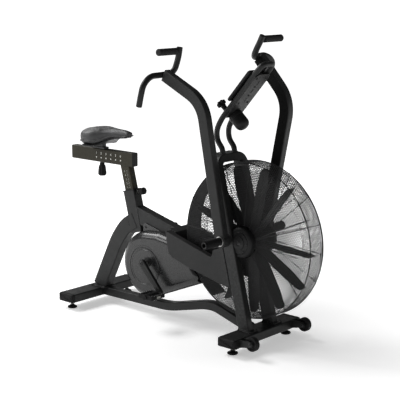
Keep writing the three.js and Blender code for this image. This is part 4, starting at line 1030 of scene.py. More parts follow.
for s, side in ((-1, "right"), (1, "left")):
    outer = [(0, 0.4), (0, 36), (0.5, 42), (1.8, 47.5), (4.2, 53), (8, 58.5), (13, 63.5), (19, 68), (25, 71.3), (31, 73.2), (35, 73.5)]
    innr = [(38, 70.5), (30, 70), (20, 66), (11, 59), (5, 50), (3, 40), (3, 0.4)]
    bm = new()
    loft(bm, [shroud_ring(k, y, s) for k, y in innr[::1]] [::1] + [shroud_ring(k, y, s) for k, y in outer], cap=(True, True))
    bmesh.ops.recalc_face_normals(bm, faces=bm.faces)
    bmesh.ops.triangulate(bm, faces=[f for f in bm.faces if len(f.verts) > 4])
    sh = put("shroud_shell_" + side, bm, PLASTIC, FRAME, "shroud_" + side, sharp=30, recalc=True)
    # room for the fan cage
    bm = new()
    lathe(bm, [(0, -66.6), (354.5, -66.6), (354.5, 66.6), (0, 66.6)], (0, 0, FAN_Z), (0, 1, 0), 120)
    bmesh.ops.recalc_face_normals(bm, faces=bm.faces)
    cm = bpy.data.meshes.new("cut")
    bm.to_mesh(cm)
    bm.free()
    co = bpy.data.objects.new("cut", cm)
    bpy.context.scene.collection.objects.link(co)
    b = sh.modifiers.new("cage_room", "BOOLEAN")
    b.operation = "DIFFERENCE"
    b.solver = "EXACT"
    b.object = co
    sh.modifiers.remove(sh.modifiers["even_normals"])
    dg = bpy.context.evaluated_depsgraph_get()
    me2 = bpy.data.meshes.new_from_object(sh.evaluated_get(dg))
    sh.modifiers.clear()
    sh.data = me2
    me2.shade_smooth()
    me2.set_sharp_from_angle(angle=math.radians(30))
    w = sh.modifiers.new("even_normals", "WEIGHTED_NORMAL")
    w.keep_sharp = True
    bpy.data.objects.remove(co)
    # raised disc with a rolled edge and a groove
    bm = new()
    lathe(bm, [(0, 70), (93.5, 70), (93.5, 74.2), (92.6, 75.8), (90.6, 76.5), (86.5, 76.5), (85.4, 75.4), (84.0, 75.4), (82.9, 76.5), (60, 77.0), (0, 77.2)], (-600, 0, 256), (0, s, 0), 96)
    put("shroud_disc_" + side, bm, PLASTIC, FRAME)
    # raised crescent rib that sweeps over the disc
    bm = new()
    pts = [polar(101, d, (-600, 256)) for d in range(60, 236, 4)]
    rings = []
    n = len(pts)
    for k, p in enumerate(pts):
        f = math.sin(PI * k / (n - 1)) ** 0.5 if 0 < k < n - 1 else 0.05
        dd = np.array(p) - np.array((-600, 256))
        dd /= np.linalg.norm(dd)
        wv, hv = 4.8 * f + 0.3, 2.6 * f + 0.1
        sec = [(-wv, -2.0), (-wv * 0.75, hv * 0.7), (0, hv), (wv * 0.75, hv * 0.7), (wv, -2.0)]
        rings.append([M(p[0] + dd[0] * a_, s * (73.6 + h), p[1] + dd[1] * a_) for a_, h in sec])
    loft(bm, rings)
    put("shroud_crescent_" + side, bm, PLASTIC, FRAME)
    # axle bush
    bm = new()
    lathe(bm, [(10.8, 76), (21, 76), (23, 77.2), (23, 79.5), (21.5, 81), (13, 81.4), (10.8, 80.8), (10.8, 76)], (CR[0], 0, CR[1]), (0, s, 0), 48)
    put("axle_bush_" + side, bm, PLASTIC_D, FRAME)
    # screw tabs over the top tube
    bm = new()
    tab = roundpoly([(-652, 400), (-652, 450), (-641, 458), (-452, 410), (-452, 380)], [6, 10, 8, 10, 6], 4)
    y0, y1 = sorted((s * 27.2, s * 31.4))
    pillow(bm, tab, y0, y1, 1.6, XZ, 3)
    put("shroud_tab_" + side, bm, PLASTIC, FRAME)
    bm = new()
    for p in ((-636, 436), (-470, 394)):
        bolt(bm, (p[0], s * 31.4, p[1]), (0, s, 0), 4.6, 3.0, hexa=False, washer=True)
    for p in ((-700, 180), (-480, 165), (-330, 268), (-745, 320)):
        pass
    put("shroud_screws_" + side, bm, BOLT, FRAME)

# ------------------------------------------------------------------ cranks and pedals
for s, side in ((-1, "right"), (1, "left")):
    A = CA + (PI if s > 0 else 0)
    ex, ez = CR[0] + CL * math.cos(A), CR[1] + CL * math.sin(A)
    o = []
    for i in range(17):
        t = A + PI / 2 + i * PI / 16
        o.append((CR[0] + 19 * math.cos(t), CR[1] + 19 * math.sin(t)))
    for i in range(17):
        t = A - PI / 2 + i * PI / 16
        o.append((ex + 14 * math.cos(t), ez + 14 * math.sin(t)))
    bm = new()
    y0, y1 = sorted((s * 105, s * 120.5))
    pillow(bm, o, y0, y1, 3.4, XZ, 4)
    put("crank_" + side, bm, PAINT, "crank", "crank_arm_" + side)
    bm = new()
    # recessed face rib and the crank bolt
    c, d_ = math.cos(A), math.sin(A)
    rib = roundpoly([(CR[0] + 32 * c - 5 * d_, CR[1] + 32 * d_ + 5 * c), (CR[0] + 32 * c + 5 * d_, CR[1] + 32 * d_ - 5 * c), (CR[0] + 146 * c + 3.5 * d_, CR[1] + 146 * d_ - 3.5 * c), (CR[0] + 146 * c - 3.5 * d_, CR[1] + 146 * d_ + 3.5 * c)], 3.2, 4)
    y0, y1 = sorted((s * 118, s * 121.4))
    pillow(bm, rib, y0, y1, 0.9, XZ, 3)
    put("crank_rib_" + side, bm, PAINT2, "crank")
    bm = new()
    bolt(bm, (CR[0], s * 120.4, CR[1]), (0, s, 0), 9.5, 3.4, hexa=False, washer=False)
    put("crank_bolt_" + side, bm, BOLT, "crank")
    # pedal: two toothed rails, end bars, barrel
    body = "pedal_" + side
    bm = new()

    def PB(x0, x1, ya, yb, z0, z1, r=2.0, axis="z"):
        y0, y1 = sorted((s * ya, s * yb))
        slabbox(bm, ex + x0, ex + x1, y0, y1, ez + z0, ez + z1, min(r, 1.6), r, axis=axis, n=3)
    PB(-46, -33, 130, 214, -9, 9, 3.5)
    PB(33, 46, 130, 214, -9, 9, 3.5)
    PB(-44, 44, 127.5, 141, -9.6, 9.6, 4)
    PB(-44, 44, 203, 216, -9.6, 9.6, 4)
    PB(-11, 11, 132, 212, -9.8, 9.8, 4)
    for yy in (158, 172, 186):
        PB(-38, 38, yy - 2, yy + 2, -6.5, 6.5, 1)
    y0, y1 = (122.5, 222.5)
    lathe(bm, [(7.6, y0), (12, y0), (13, y0 + 1.2), (13, y1 - 2.4), (11.5, y1), (0, y1)], (ex, 0, ez), (0, s, 0), 36)
    put("pedal_body_" + side, bm, RUBBER, body, "pedal_" + side, weld=0)
    bm = new()
    for q in (-1, 1):
        for xx in (-42, -37, 37, 42):
            for yy in (138, 150, 162, 174, 186, 198, 208):
                if (int(yy) // 2 + (1 if abs(xx) > 40 else 0)) % 2:
                    continue
                lathe(bm, [(0, 8), (1.8, 8), (1.7, 10.2), (0.9, 11.4), (0, 11.5)], (ex + xx, s * yy, ez), (0, 0, q), 8)
    put("pedal_studs_" + side, bm, STEEL, body, weld=0)
    bm = new()
    for xx in (-41.5, 41.5):
        y0, y1 = sorted((s * 160, s * 184))
        q0, q1 = (ex + xx - 5.2, ex + xx - 3.6) if xx < 0 else (ex + xx + 3.6, ex + xx + 5.2)
        slabbox(bm, q0, q1, y0, y1, ez - 5, ez + 5, 0.6, 1.6, axis="x", n=3)
    put("pedal_reflectors_" + side, bm, MARK_D, body)

# ------------------------------------------------------------------ handle arms
P0 = PIV
centre = soften([P0, (-163, 1082), (-384, 1188)], 80, 16)
for s, side in ((-1, "right"), (1, "left")):
    turn = math.radians(22.3) if s > 0 else 0.0
    body = "arm_" + side

    def q3(x, z, y=152.0, s=s, turn=turn):
        u, v = rot2((x, z), P0, turn)
        return M(u, s * y, v)
    c = [rot2(p, P0, turn) for p in centre]
    bm = new()
    y0, y1 = sorted((s * 134, s * 170))
    o = ccw(band(c, 54))
    pillow(bm, o, y0, y1, 5, XZ, 5)
    beam = put("arm_beam_" + side, bm, PAINT, body, "handle_arm_" + side)
    # the inward-facing faces of the beam get the darker paint copy: painted shade
    beam.data.materials.append(PAINT_INNER_SHADE)
    for f_ in beam.data.polygons:
        if f_.normal.y * s < -0.9:
            f_.material_index = 1
    bm = new()
    pr = [(12.6, 126), (28.5, 126), (30, 127.5), (30, 168.5), (28.5, 170), (26, 170.4), (12.6, 170.4), (12.6, 126)]
    lathe(bm, pr, (P0[0], 0, P0[1]), (0, s, 0), 56)
    put("arm_boss_" + side, bm, PAINT, body)
    # one bent bar across the end of the beam: inboard and up to the T grip, outboard and down to the hooked grip
    tube = [(-359, 84, 1310), (-363, 86, 1278), (-371, 90, 1241), (-379, 99, 1209), (-389, 121, 1191), (-396, 152, 1189), (-404, 182, 1187), (-407, 212, 1185), (-401, 250, 1172), (-398, 278, 1147), (-403, 288, 1106), (-414, 290, 1056)]
    bm = new()
    H3 = catmull([tuple(q3(x_, z_, y_)) for x_, y_, z_ in tube], 8)
    sweep(bm, H3, 0.0138, 28, round_end=(0.003, 0.002))
    t = rot2((-359, 1292), P0, turn)
    sweep(bm, [M(t[0], s * 85, t[1]), M(t[0], s * 217.5, t[1])], 0.010, 20)
    put("arm_bars_" + side, bm, PAINT, body, weld=0)
    # end plug of the hook bar
    bm = new()
    tip, prev = Vector(H3[-1]), Vector(H3[-3])
    dd = (tip - prev).normalized()
    sweep(bm, [tip - dd * 0.002, tip + dd * 0.0012], 0.0118, 24, round_end=(0, 0.0011))
    put("hook_plug_" + side, bm, PLASTIC_D, body)
    # T grip
    bm = new()
    prof = [(10.4, 15), (15.0, 15), (16, 16.2), (16, 19), (15.4, 19.6)]
    y = 20.0
    while y < 131:
        prof += [(15.4, y), (15.75, y + 0.7), (15.75, y + 2.3), (15.4, y + 3.0)]
        y += 3.0
    prof += [(15.4, 132.2), (16, 132.8), (16, 135.6), (15, 137.8), (12.5, 138.8), (8, 139), (0, 139), (0, 134.5), (10.4, 134.5), (10.4, 15)]
    lathe(bm, prof, (t[0], s * 85, t[1]), (0, s, 0), 40)
    put("t_grip_" + side, bm, GRIP, body, "handle_grip_" + side, sharp=40)
    # cover cap on the outside of the arm pivot is under the peg flange: washer ring
    bm = new()
    lathe(bm, [(15.6, 170.2), (22, 170.2), (22.6, 171), (22, 172.2), (15.6, 172.2), (15.6, 170.2)], (P0[0], 0, P0[1]), (0, s, 0), 40)
    put("peg_washer_" + side, bm, STEEL, FRAME)
    # foot peg: steel core and sleeve
    bm = new()
    lathe(bm, [(0, 69), (12, 69), (12, 170.5), (15, 170.5), (15, 270.8), (14.2, 272), (11, 272), (10, 271), (10, 205), (0, 205)], (P0[0], 0, P0[1]), (0, s, 0), 40)
    put("peg_core_" + side, bm, BOLT, FRAME, "foot_peg_" + side)
    bm = new()
    prof = [(15.8, 173), (18.6, 173), (19, 173.8)]
    y = 174.0
    while y < 268:
        prof += [(19, y), (19, y + 7.2), (18.2, y + 8.0), (17.9, y + 8.8), (18.2, y + 9.6)]
        y += 10.4
    prof += [(19, 268.4), (19, 273), (18.2, 274), (15.8, 274), (15.8, 173)]
    lathe(bm, prof, (P0[0], 0, P0[1]), (0, s, 0), 48)
    put("peg_sleeve_" + side, bm, RUBBER, FRAME, "foot_peg_sleeve_" + side, sharp=40)

# ------------------------------------------------------------------ seat post, rail, scales
SEAT = "seat"
topS = (716 - 0.3 - 480) / math.cos(LEAN)
bm = new()
pillow(bm, band([ax(36), ax(topS + 26)], 58), -18, 18, 4, XZ, 4)
geom = list(bm.verts) + list(bm.edges) + list(bm.faces)
bmesh.ops.bisect_plane(bm, geom=geom, plane_co=M(0, 0, 715.8), plane_no=(0, 0, 1), clear_outer=True)
bmesh.ops.holes_fill(bm, edges=[e_ for e_ in bm.edges if e_.is_boundary], sides=0)
put("post_bar", bm, OLIVE, SEAT, "seat_post")
# pin holes down the front face: thin dark discs almost flush with the surface, painted shade standing in for the holes
bm = new()
for i in range(7):
    sp = 83 + 25 * i
    if sp > topS - 24:
        break
    k = ax(sp)
    o3 = (k[0] + NL[0] * 28.9, 0, k[1] + NL[1] * 28.9)
    lathe(bm, [(0, -0.4), (6.6, -0.4), (6.8, 0.05), (6.6, 0.19), (5.4, 0.19), (5.2, 0.12), (0, 0.12)], o3, (NL[0], 0, NL[1]), 28)
put("post_pin_hole_shade_discs", bm, BOLT, SEAT, weld=0)
bm = new()
slabbox(bm, -1165, -735, -19, 19, 716, 783, 1.2, 4.5, axis="x", n=4)
put("rail_box", bm, OLIVE, SEAT, "seat_rail")
# slot in the top of the rail: a thin black sheet on the top face, painted shadow standing in for the slot
bm = new()
slabbox(bm, -1112, -818, -6.2, 6.2, 782.2, 783.25, 0.2, 5.5, axis="z", n=5)
put("rail_slot_shadow", bm, RUBBER, SEAT)
# end plugs of the rail
for nm, x0, x1 in (("front", -735.4, -733.6), ("rear", -1166.4, -1164.6)):
    bm = new()
    slabbox(bm, x0, x1, -18.4, 18.4, 716.8, 782.2, 0.7, 5, axis="x", n=3)
    put("rail_plug_" + nm, bm, PLASTIC_D, SEAT)


def label(txt, size, place, body, mat, name, slot, thick=0.00018):
    """Flat printed figure: text turned into a thin solid. place is a matrix."""
    cu = bpy.data.curves.new(name, "FONT")
    cu.body = txt
    cu.size = size
    cu.align_x = "CENTER"
    cu.align_y = "CENTER"
    cu.extrude = thick
    cu.resolution_u = 4
    tmp = bpy.data.objects.new(name + "_t", cu)
    bpy.context.scene.collection.objects.link(tmp)
    dg = bpy.context.evaluated_depsgraph_get()
    me = bpy.data.meshes.new_from_object(tmp.evaluated_get(dg))
    bpy.data.objects.remove(tmp)
    bm = new()
    bm.from_mesh(me)
    bmesh.ops.transform(bm, matrix=place, verts=bm.verts)
    bpy.data.meshes.remove(me)
    return bm


def merge(bms):
    out = new()
    for b_ in bms:
        m_ = bpy.data.meshes.new("tmp")
        b_.to_mesh(m_)
        b_.free()
        out.from_mesh(m_)
        bpy.data.meshes.remove(m_)
    return out


def face_matrix(origin, right, up):
    r, u = Vector(right).normalized(), Vector(up).normalized()
    n_ = r.cross(u)
    m_ = Matrix.Identity(4)
    for i in range(3):
        m_[i][0], m_[i][1], m_[i][2], m_[i][3] = r[i], u[i], n_[i], origin[i]
    return m_


bms = []
for i in range(6):
    x = -985 + 34 * i
    bms.append(label(str(i + 1), 0.017, face_matrix(M(x, -19.15, 760), (1, 0, 0), (0, 0, 1)), SEAT, MARK, "n", "s"))
    bms.append(label(str(6 - i), 0.017, face_matrix(M(x, 19.15, 760), (-1, 0, 0), (0, 0, 1)), SEAT, MARK, "n", "s"))
bm = merge(bms)
for i in range(6):
    for sy in (-1, 1):
        lathe(bm, [(0, 18.6), (3.4, 18.6), (3.4, 19.2), (0, 19.3)], (-985 + 34 * i, 0, 739), (0, sy, 0), 18)
put("rail_scale", bm, MARK, SEAT, weld=0, wn=False)
# post scale: ticks and figures on the side
bms = []
up_ = (-math.sin(LEAN), 0, math.cos(LEAN))
for i in range(5):
    sp = 138 + 20 * i
    k = ax(sp)
    for sy in (-1, 1):
        rt = (math.cos(LEAN) * -sy, 0, math.sin(LEAN) * -sy)
        off = 8 * (1 if sy < 0 else 1)
        bms.append(label(str(i + 1), 0.014, face_matrix(M(k[0] + NL[0] * -6, sy * 18.15, k[1] + NL[1] * -6), rt, up_), SEAT, MARK, "n", "s"))
bm = merge(bms)
for i in range(9):
    sp = 138 + 10 * i
    k = ax(sp)
    ln = 9 if i % 2 == 0 else 5
    for sy in (-1, 1):
        q = [(k[0] + NL[0] * (5 + d_) + up_[0] * h, k[1] + NL[1] * (5 + d_) + up_[2] * h) for d_, h in ((0, -0.9), (ln, -0.9), (ln, 0.9), (0, 0.9))]
        pillow(bm, q, *sorted((sy * 17.8, sy * 18.25)), 0, XZ)
put("post_scale", bm, MARK_D, SEAT, weld=0, wn=False)

# carriage, kept simple and solid: shoe, clamp cheeks and pillar
bm = new()
slabbox(bm, -1007, -931, -17, 17, 783.4, 792, 1.4, 4, axis="z", n=3)
slabbox(bm, -989, -945, -12, 12, 790, 811.6, 1.2, 3, axis="z", n=3)
sweep(bm, [M(-965, 0, 785), M(-965, 0, 655)], 0.005, 20)
put("carriage_block", bm, BOLT, "saddle", "saddle_carriage", weld=0)

# ------------------------------------------------------------------ knobs
d3 = (NL[0], 0, NL[1])
k = ax(108)
bm = new()
lathe(bm, [(0, 29.5), (4.9, 29.5), (4.9, 37.6), (9, 37.6), (9, 52), (0, 52)], (k[0], 0, k[1]), d3, 32)
put("pin_barrel", bm, STEEL, "post_pin", "post_pin_knob")
bm = new()
o_ = M(k[0], 0, k[1])
D = Vector(d3)
U_, V_ = Vector((0, 1, 0)), Vector(d3).cross(Vector((0, 1, 0)))
rings = []
for r, t, fl_ in ((9, 51, 0), (12, 52.5, 0), (13.2, 56, 0.02), (15.2, 62, 0.05), (17.6, 67, 0.07), (18, 72, 0.07), (18, 80, 0.07), (16.8, 84, 0.05), (14, 86.4, 0.02), (8, 87, 0), (0.5, 87, 0)):
    rings.append([o_ + D * t / 1000 + (U_ * math.cos(2 * PI * j / 80) + V_ * math.sin(2 * PI * j / 80)) * r * (1 - fl_ * (0.5 - 0.5 * math.cos(10 * 2 * PI * j / 80))) / 1000 for j in range(80)])
loft(bm, rings)
put("pin_knob_grip", bm, RUBBER, "post_pin", sharp=45)
# ring bushing welded to the sleeve
bm = new()
lathe(bm, [(5.6, 37.2), (13.6, 37.2), (14.4, 38), (14.4, 44), (13.4, 45), (9.6, 45), (9.6, 37.2)], (k[0], 0, k[1]), d3, 36)
put("pin_boss", bm, PAINT, FRAME)
bm = new()
rings = []
for r, z, fl_ in ((5.4, 712, 0), (11, 712, 0), (12, 708, 0), (12.4, 700, 0.0), (16, 697, 0.10), (17.5, 690, 0.14), (19.3, 676, 0.14), (20.8, 662, 0.12), (20.6, 655, 0.10), (19, 650, 0.07), (14.5, 646.6, 0.0), (8, 646, 0), (0.4, 646, 0)):
    rings.append([M(-965, 0, 0) + Vector((0, 0, z / 1000)) + Vector((math.cos(2 * PI * j / 96), math.sin(2 * PI * j / 96), 0)) * r * (1 - fl_ * (0.5 - 0.5 * math.cos(8 * 2 * PI * j / 96))) / 1000 for j in range(96)])
loft(bm, rings)
put("rail_knob_grip", bm, RUBBER, "rail_knob", "rail_clamp_knob", sharp=45)

# ------------------------------------------------------------------ console
base_z = 79.3 + 769
HY = 40


def side_pts(s):
    return [(-141, s * HY, base_z - 6), (-146, s * HY, base_z + 20), (-172, s * HY, 905), (-176, s * HY, 948), (-150, s * HY, 1000), (-105, s * HY, 1052), (-20, s * HY, 1147), (50, s * HY, 1224)]


pts = side_pts(-1) + [(72, -30, 1248), (74, 0, 1250), (72, 30, 1248)] + side_pts(1)[::-1]
P = catmull([tuple(M(*p)) for p in pts], 8)
bm = new()
sweep(bm, P, 0.0125, 28)
put("console_tube", bm, PAINT, FRAME, "console_hoop", wn=False)
bm = new()
for s in (-1, 1):
    sweep(bm, [M(-141 + 14.2 * math.cos(2 * PI * j / 24), s * HY + 14.2 * math.sin(2 * PI * j / 24), base_z + 0.8) for j in range(24)], 0.0022, 6, closed=True)
put("console_weld", bm, PAINT, FRAME, wn=False, weld=0)
u2, w2, o2 = (0.667, 0.745), (0.745, -0.667), (-97.0, 1038.0)


def cp(a_, b_):
    return (o2[0] + u2[0] * a_ + w2[0] * b_, o2[1] + u2[1] * a_ + w2[1] * b_)


hb = (-20 - o2[0]) * w2[0] + (1147 - o2[1]) * w2[1]
b0 = hb + 13.7
h0 = b0 - 0.3


def CP(u, v, w):
    """u along y, v along the slope, w out of the back."""
    p = cp(v, w)
    return M(p[0], u, p[1])


bm = new()
pillow(bm, roundpoly([(-50, -38), (50, -38), (50, 206), (36, 228), (-36, 228), (-50, 206)], [8, 8, 10, 8, 8, 10], 5), b0, b0 + 4, 1.2, CP, 3)
put("console_plate", bm, PAINT2, FRAME, "console_bracket")
bm = new()
for s in (-1, 1):
    pillow(bm, roundpoly([(s * 46, 4), (s * 50, 4), (s * 50, 216), (s * 46, 216)], 1.2, 3), b0 - 13, b0 + 2, 1.0, CP, 2)
put("console_plate_flanges", bm, PAINT2, FRAME, weld=0)
# slots in the plate: thin dark strips on its face, painted shade standing in for the openings
bm = new()
for a_ in (60, 112, 164):
    pillow(bm, roundpoly([(-3.6, a_), (3.6, a_), (3.6, a_ + 26), (-3.6, a_ + 26)], 3.5, 5), b0 + 3.6, b0 + 4.35, 0.25, CP, 2)
put("console_plate_slot_shade", bm, RUBBER, FRAME, weld=0)
bm = new()
wdir = (w2[0], 0, w2[1])
for y, a_ in ((-30, 52), (30, 52), (-30, 202), (30, 202), (0, 98), (0, 150)):
    p = cp(a_, b0 + 4)
    bolt(bm, (p[0], y, p[1]), wdir, 4.4, 3.2, hexa=False, washer=True)
put("console_plate_bolts", bm, BOLT, FRAME, weld=0)
def CH(u, v, w):
    return CP(u, v - 12, w)


# housing on the rider's side
bm = new()
pillow(bm, roundpoly([(-62, 46), (62, 46), (62, 228), (-62, 228)], 12, 7), h0 - 40, h0 - 27, 4.5, CH, 5)
pillow(bm, roundpoly([(-26, 54), (26, 54), (26, 222), (-26, 222)], 6, 4), h0 - 28.5, h0, 1.5, CH, 3)
put("console_shell", bm, PLASTIC_D, "console", "console_housing", weld=0)
bm = new()
pillow(bm, roundpoly([(-51, 77), (51, 77), (51, 217), (-51, 217)], 6, 5), h0 - 40.8, h0 - 38.5, 0.5, CH, 2)
put("console_glass", bm, GLASS, "console")
bm = new()
pillow(bm, roundpoly([(-42, 96), (42, 96), (42, 204), (-42, 204)], 2, 3), h0 - 41.15, h0 - 40.4, 0.2, CH, 2)
put("console_lcd", bm, LCD, "console")
# generic seven-segment figures
bm = new()
SEG = {"0": "abcdef", "1": "bc", "2": "abged", "3": "abgcd", "4": "fgbc", "5": "afgcd", "6": "afgedc", "7": "abc", "8": "abcdefg", "9": "abcdfg"}


def seven(ch, y, a_, hgt):
    w_, t_ = hgt * 0.5, hgt * 0.11
    # the rider looks along +w: right is -y
    segs = {"a": (0, hgt, 1), "g": (0, hgt / 2, 1), "d": (0, 0, 1), "f": (-w_ / 2, hgt * 0.75, 0), "b": (w_ / 2, hgt * 0.75, 0), "e": (-w_ / 2, hgt * 0.25, 0), "c": (w_ / 2, hgt * 0.25, 0)}
    for k_ in SEG[ch]:
        px, pz, hor = segs[k_]
        if hor:
            q = [(-w_ / 2 + t_, -t_ / 2), (w_ / 2 - t_, -t_ / 2), (w_ / 2 - t_ / 2, 0), (w_ / 2 - t_, t_ / 2), (-w_ / 2 + t_, t_ / 2), (-w_ / 2 + t_ / 2, 0)]
        else:
            L_ = hgt / 2
            q = [(-t_ / 2, -L_ / 2 + t_), (0, -L_ / 2 + t_ / 2), (t_ / 2, -L_ / 2 + t_), (t_ / 2, L_ / 2 - t_), (0, L_ / 2 - t_ / 2), (-t_ / 2, L_ / 2 - t_)]
        pillow(bm, [(y - (px + qx), a_ + pz + qz) for qx, qz in q], h0 - 41.3, h0 - 41.0, 0, CH)


for txt, y0_, a_, hg in (("12", 20, 176, 18), ("45", -14, 176, 18), ("086", 14, 140, 24), ("214", 26, 108, 14), ("57", -20, 108, 14)):
    for i_, ch in enumerate(txt):
        seven(ch, y0_ - i_ * hg * 0.78, a_, hg)
put("console_digits", bm, SEGM, "console", weld=0, wn=False)
for (y, nm, mt) in ((-30, "start", BTN_G), (0, "mode", BTN_N), (30, "stop", BTN_R)):
    q0 = cp(51, h0 - 35.5)
    bm = new()
    lathe(bm, [(0, 0), (6, 0), (6, 6.2), (5.6, 7.1), (4.4, 7.5), (2.5, 7.3), (0, 7.2)], (q0[0], y, q0[1]), (-w2[0], 0, -w2[1]), 36)
    put("button_cap_" + nm, bm, mt, "button_" + nm, "console_button_" + nm)
# pod and star knob
bm = new()
f_ = cp(-20, b0 + 4.3)
lathe(bm, [(0, 0), (29, 0), (31.4, 1.0), (33, 4), (33, 20), (32.2, 20.8), (32.2, 22.4), (33, 23.2), (33, 56), (32, 62), (29.4, 68.5), (25, 74), (18, 78.3), (9, 80.6), (0, 81)], (f_[0], 0, f_[1]), wdir, 72)
put("console_pod_body", bm, PLASTIC_D, FRAME, "console_pod")
bm = new()
s0 = cp(-27, b0 + 3.5)
o_ = M(s0[0], -20, s0[1])
D = -Vector(wdir)
U_, V_ = Vector((0, 1, 0)), D.cross(Vector((0, 1, 0)))
rings = []
NS = 120
for sc_, t in ((0.30, 62), (0.62, 64), (0.86, 64.4), (0.96, 66), (1.0, 69), (1.0, 79), (0.95, 82.2), (0.84, 83.8), (0.5, 84), (0.02, 84)):
    ring = []
    for j in range(NS):
        th = 2 * PI * j / NS
        lobe = 17.6 + 4.2 * math.cos(6 * th)
        rr = (lobe * sc_ if sc_ > 0.5 else 12 * sc_ / 0.5) / 1000
        ring.append(o_ + D * t / 1000 + (U_ * math.cos(th) + V_ * math.sin(th)) * rr)
    rings.append(ring)
loft(bm, rings)
put("star_knob_head", bm, RUBBER, "star_knob", "console_star_knob", sharp=45)
bm = new()
sweep(bm, [o_ + D * 0.0002, o_ + D * 0.035], 0.0049, 24)
put("star_knob_stud", bm, STEEL, "star_knob", weld=0)
bm = new()
lathe(bm, [(0, 34), (10.4, 34), (11, 34.8), (11.6, 50), (12, 63), (11, 64.6), (0, 64.6)], (s0[0], -20, s0[1]), tuple(D), 40)
put("star_knob_hub", bm, RUBBER, "star_knob", sharp=45)

# ------------------------------------------------------------------ saddle
zr = lambda t: t


def smooth_curve(xs, ys, x):
    return float(np.interp(x, xs, ys))


# stations: x, half width, top, bottom
ST = [(-1041, 60, 876, 807), (-1038, 76, 882, 802.6), (-1029, 88, 886, 800.8), (-1012, 97, 887.8, 800.2), (-990, 99, 888.4, 800.4), (-960, 95, 888.6, 801.5), (-930, 80, 888.6, 808),
      (-900, 60, 888.4, 824), (-870, 45, 888, 837), (-840, 36, 887, 845), (-810, 30, 885.5, 849), (-790, 27, 884.2, 851), (-775, 25, 883, 852), (-768, 24.5, 882.4, 852.5), (-764.5, 24, 882, 853), (-762.5, 22.5, 881, 853.6)]
SX = [p[0] for p in ST]


def saddle_section(x, hw, zt, zb, shrink, n=44):
    pts = []
    hw, zt, zb = hw - shrink, zt - shrink, zb + shrink * 0.4
    zc = zb + (zt - zb) * 0.52
    for j in range(n):
        th = 2 * PI * j / n
        c_, s_ = math.cos(th), math.sin(th)
        ex_ = 2.0 / 2.7
        yy = hw * math.copysign(abs(c_) ** ex_, c_)
        if s_ > 0:
            zz = zc + (zt - zc) * abs(s_) ** (2.0 / 3.0)
        else:
            zz = zc - (zc - zb) * abs(s_) ** (2.0 / 4.4)
            yy *= 1 - (0.06 + 0.26 * min(1, max(0, (x + 1020) / 28)) * min(1, max(0, (-840 - x) / 45))) * abs(s_) ** 0.6
        pts.append((x, yy, zz))
    return pts


def saddle_shell(shrink, z_cut=None):
    xs = np.concatenate([np.linspace(SX[i], SX[i + 1], 3, endpoint=False) for i in range(len(SX) - 1)] + [[SX[-1]]])
    Xs, HWs, ZTs, ZBs = (np.array([p[i] for p in ST], float) for i in range(4))

    def cr(vals, x):
        i = int(np.clip(np.searchsorted(Xs, x) - 1, 0, len(Xs) - 2))
        t = (x - Xs[i]) / (Xs[i + 1] - Xs[i])
        m0 = (vals[min(i + 1, len(vals) - 1)] - vals[max(i - 1, 0)]) / (Xs[min(i + 1, len(Xs) - 1)] - Xs[max(i - 1, 0)])
        m1 = (vals[min(i + 2, len(vals) - 1)] - vals[i]) / (Xs[min(i + 2, len(Xs) - 1)] - Xs[i])
        h = Xs[i + 1] - Xs[i]
        return (2 * t ** 3 - 3 * t ** 2 + 1) * vals[i] + (t ** 3 - 2 * t ** 2 + t) * h * m0 + (-2 * t ** 3 + 3 * t ** 2) * vals[i + 1] + (t ** 3 - t ** 2) * h * m1
    rings = []
    for x in xs:
        rings.append([M(*p) for p in saddle_section(float(x), cr(HWs, x), cr(ZTs, x), cr(ZBs, x), shrink)])
    return rings


bm = new()
loft(bm, saddle_shell(3.0))
pad = put("saddle_pad", bm, SADDLE, "saddle", "saddle", sharp=80, wn=False)
pad.select_set(False)


def apply_mods(o):
    dg = bpy.context.evaluated_depsgraph_get()
    me = bpy.data.meshes.new_from_object(o.evaluated_get(dg))
    mats = [m_ for m_ in o.data.materials]
    o.modifiers.clear()
    o.data = me
    if not me.materials:
        for m_ in mats:
            me.materials.append(m_)
    return o


rm = pad.modifiers.new("remesh", "REMESH")
rm.mode = "VOXEL"
rm.voxel_size = 0.005
rm.use_smooth_shade = True
apply_mods(pad)
sc = bpy.context.scene
before = np.array([v.co[:] for v in pad.data.vertices])
cl = pad.modifiers.new("cloth", "CLOTH")
cl.settings.use_pressure = True
cl.settings.uniform_pressure_force = 4.0
cl.settings.effector_weights.gravity = 0.0
cl.settings.tension_stiffness = 25
cl.settings.compression_stiffness = 25
cl.settings.shear_stiffness = 15
cl.settings.bending_stiffness = 2.0
cl.settings.quality = 6
cl.collision_settings.use_collision = False
for f in range(1, 21):
    sc.frame_set(f)
dg = bpy.context.evaluated_depsgraph_get()
ev = pad.evaluated_get(dg).data
after = np.array([v.co[:] for v in ev.vertices])
pad.modifiers.clear()
sc.frame_set(1)
if after.shape == before.shape:
    d_ = after - before
    ln = np.linalg.norm(d_, axis=1)
    capv = 0.006
    k_ = np.where(ln > capv, capv / np.maximum(ln, 1e-9), 1.0)
    res = before + d_ * k_[:, None]
    pad.data.vertices.foreach_set("co", res.astype(np.float32).ravel())
    pad.data.update()
# pressed centre channel and side panels, then a light smoothing
co = np.array([v.co[:] for v in pad.data.vertices])
x = co[:, 0] * 1000 - OX
y = co[:, 1] * 1000
z = co[:, 2] * 1000
topm = np.clip((z - 850) / 18, 0, 1)
chan = np.exp(-(y / 9.0) ** 2) * np.clip((x + 1030) / 40, 0, 1) * np.clip((-800 - x) / 60, 0, 1)
z = z - 4.2 * chan * topm
# shallow sewn line either side of the sitting area
hw = np.interp(x, SX, [p[1] for p in ST])
line_ = np.exp(-((np.abs(y) - hw * 0.66) / 2.6) ** 2) * topm * np.clip((-775 - x) / 30, 0, 1)
z = z - 1.6 * line_
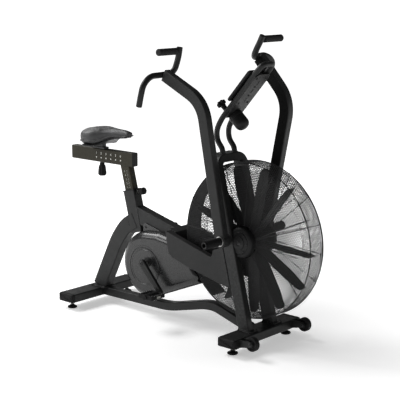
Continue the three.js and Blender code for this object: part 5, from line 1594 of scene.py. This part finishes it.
# flat underside so that it sits on its pan
lo_ = np.interp(x, SX, [p[3] for p in ST]) + 1.0
z = np.maximum(z, lo_)
z = np.minimum(z, 890.5)
co[:, 2] = z / 1000
pad.data.vertices.foreach_set("co", co.astype(np.float32).ravel())
pad.data.update()
sm = pad.modifiers.new("smooth", "CORRECTIVE_SMOOTH")
sm.iterations = 2
sm.use_only_smooth = True
ss = pad.modifiers.new("subd", "SUBSURF")
ss.levels = 1
ss.render_levels = 1
apply_mods(pad)
pad.data.shade_smooth()
if not pad.data.materials:
    pad.data.materials.append(SADDLE)

# piping round the edge between the cover and the pan
Xs_ = np.linspace(-1036, -768, 46)
hwf = lambda x_: float(np.interp(x_, SX, [p[1] for p in ST]))
ztf = lambda x_: float(np.interp(x_, SX, [p[2] for p in ST]))
zbf = lambda x_: float(np.interp(x_, SX, [p[3] for p in ST]))
edge_ = []
for x_ in Xs_:
    edge_.append((x_, hwf(x_) * 0.965 + 1.2, zbf(x_) + (ztf(x_) - zbf(x_)) * 0.30))
loop = [(-1041.5, 0, 834)] + edge_ + [(-761.8, 0, 860)] + [(p[0], -p[1], p[2]) for p in edge_[::-1]]
loopM = [tuple(M(*p)) for p in loop]
Pc = catmull(loopM + [loopM[0]], 3)[:-1]
bm = new()
sweep(bm, Pc, 0.0019, 8, closed=True)
put("saddle_piping_cord", bm, PIPING, "saddle", wn=False)
# moulded pan under the pad
bm = new()
pan = []
for x_ in list(np.linspace(-1030, -778, 30)):
    pan.append((x_, hwf(x_) * 0.84))
outl = [(p[0], p[1]) for p in pan] + [(p[0], -p[1]) for p in pan[::-1]]
outl = ccw(outl)
rings = []
for k_, dz in ((6, -0.5), (1.5, -0.4), (0, 1.2), (0, 5.5), (2, 7)):
    rings.append([M(p[0], p[1], max(799.6, zbf(p[0]) + dz - 0.8)) for p in inset(outl, k_)])
loft(bm, rings)
put("saddle_pan", bm, PLASTIC_D, "saddle")

# ------------------------------------------------------------------ materials of the solids that still show
KEEP = {"fan_axle": STEEL, "fan_pulley": STEEL, "crank_pulley": STEEL, "drive_belt": RUBBER, "bottom_bracket": PAINT, "crank_axle": STEEL}
for n_, mt in KEEP.items():
    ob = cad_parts[n_]
    if ob.data.materials:
        for i_ in range(len(ob.material_slots)):
            ob.material_slots[i_].link = "OBJECT"
            ob.material_slots[i_].material = mt
    else:
        ob.data.materials.append(mt)
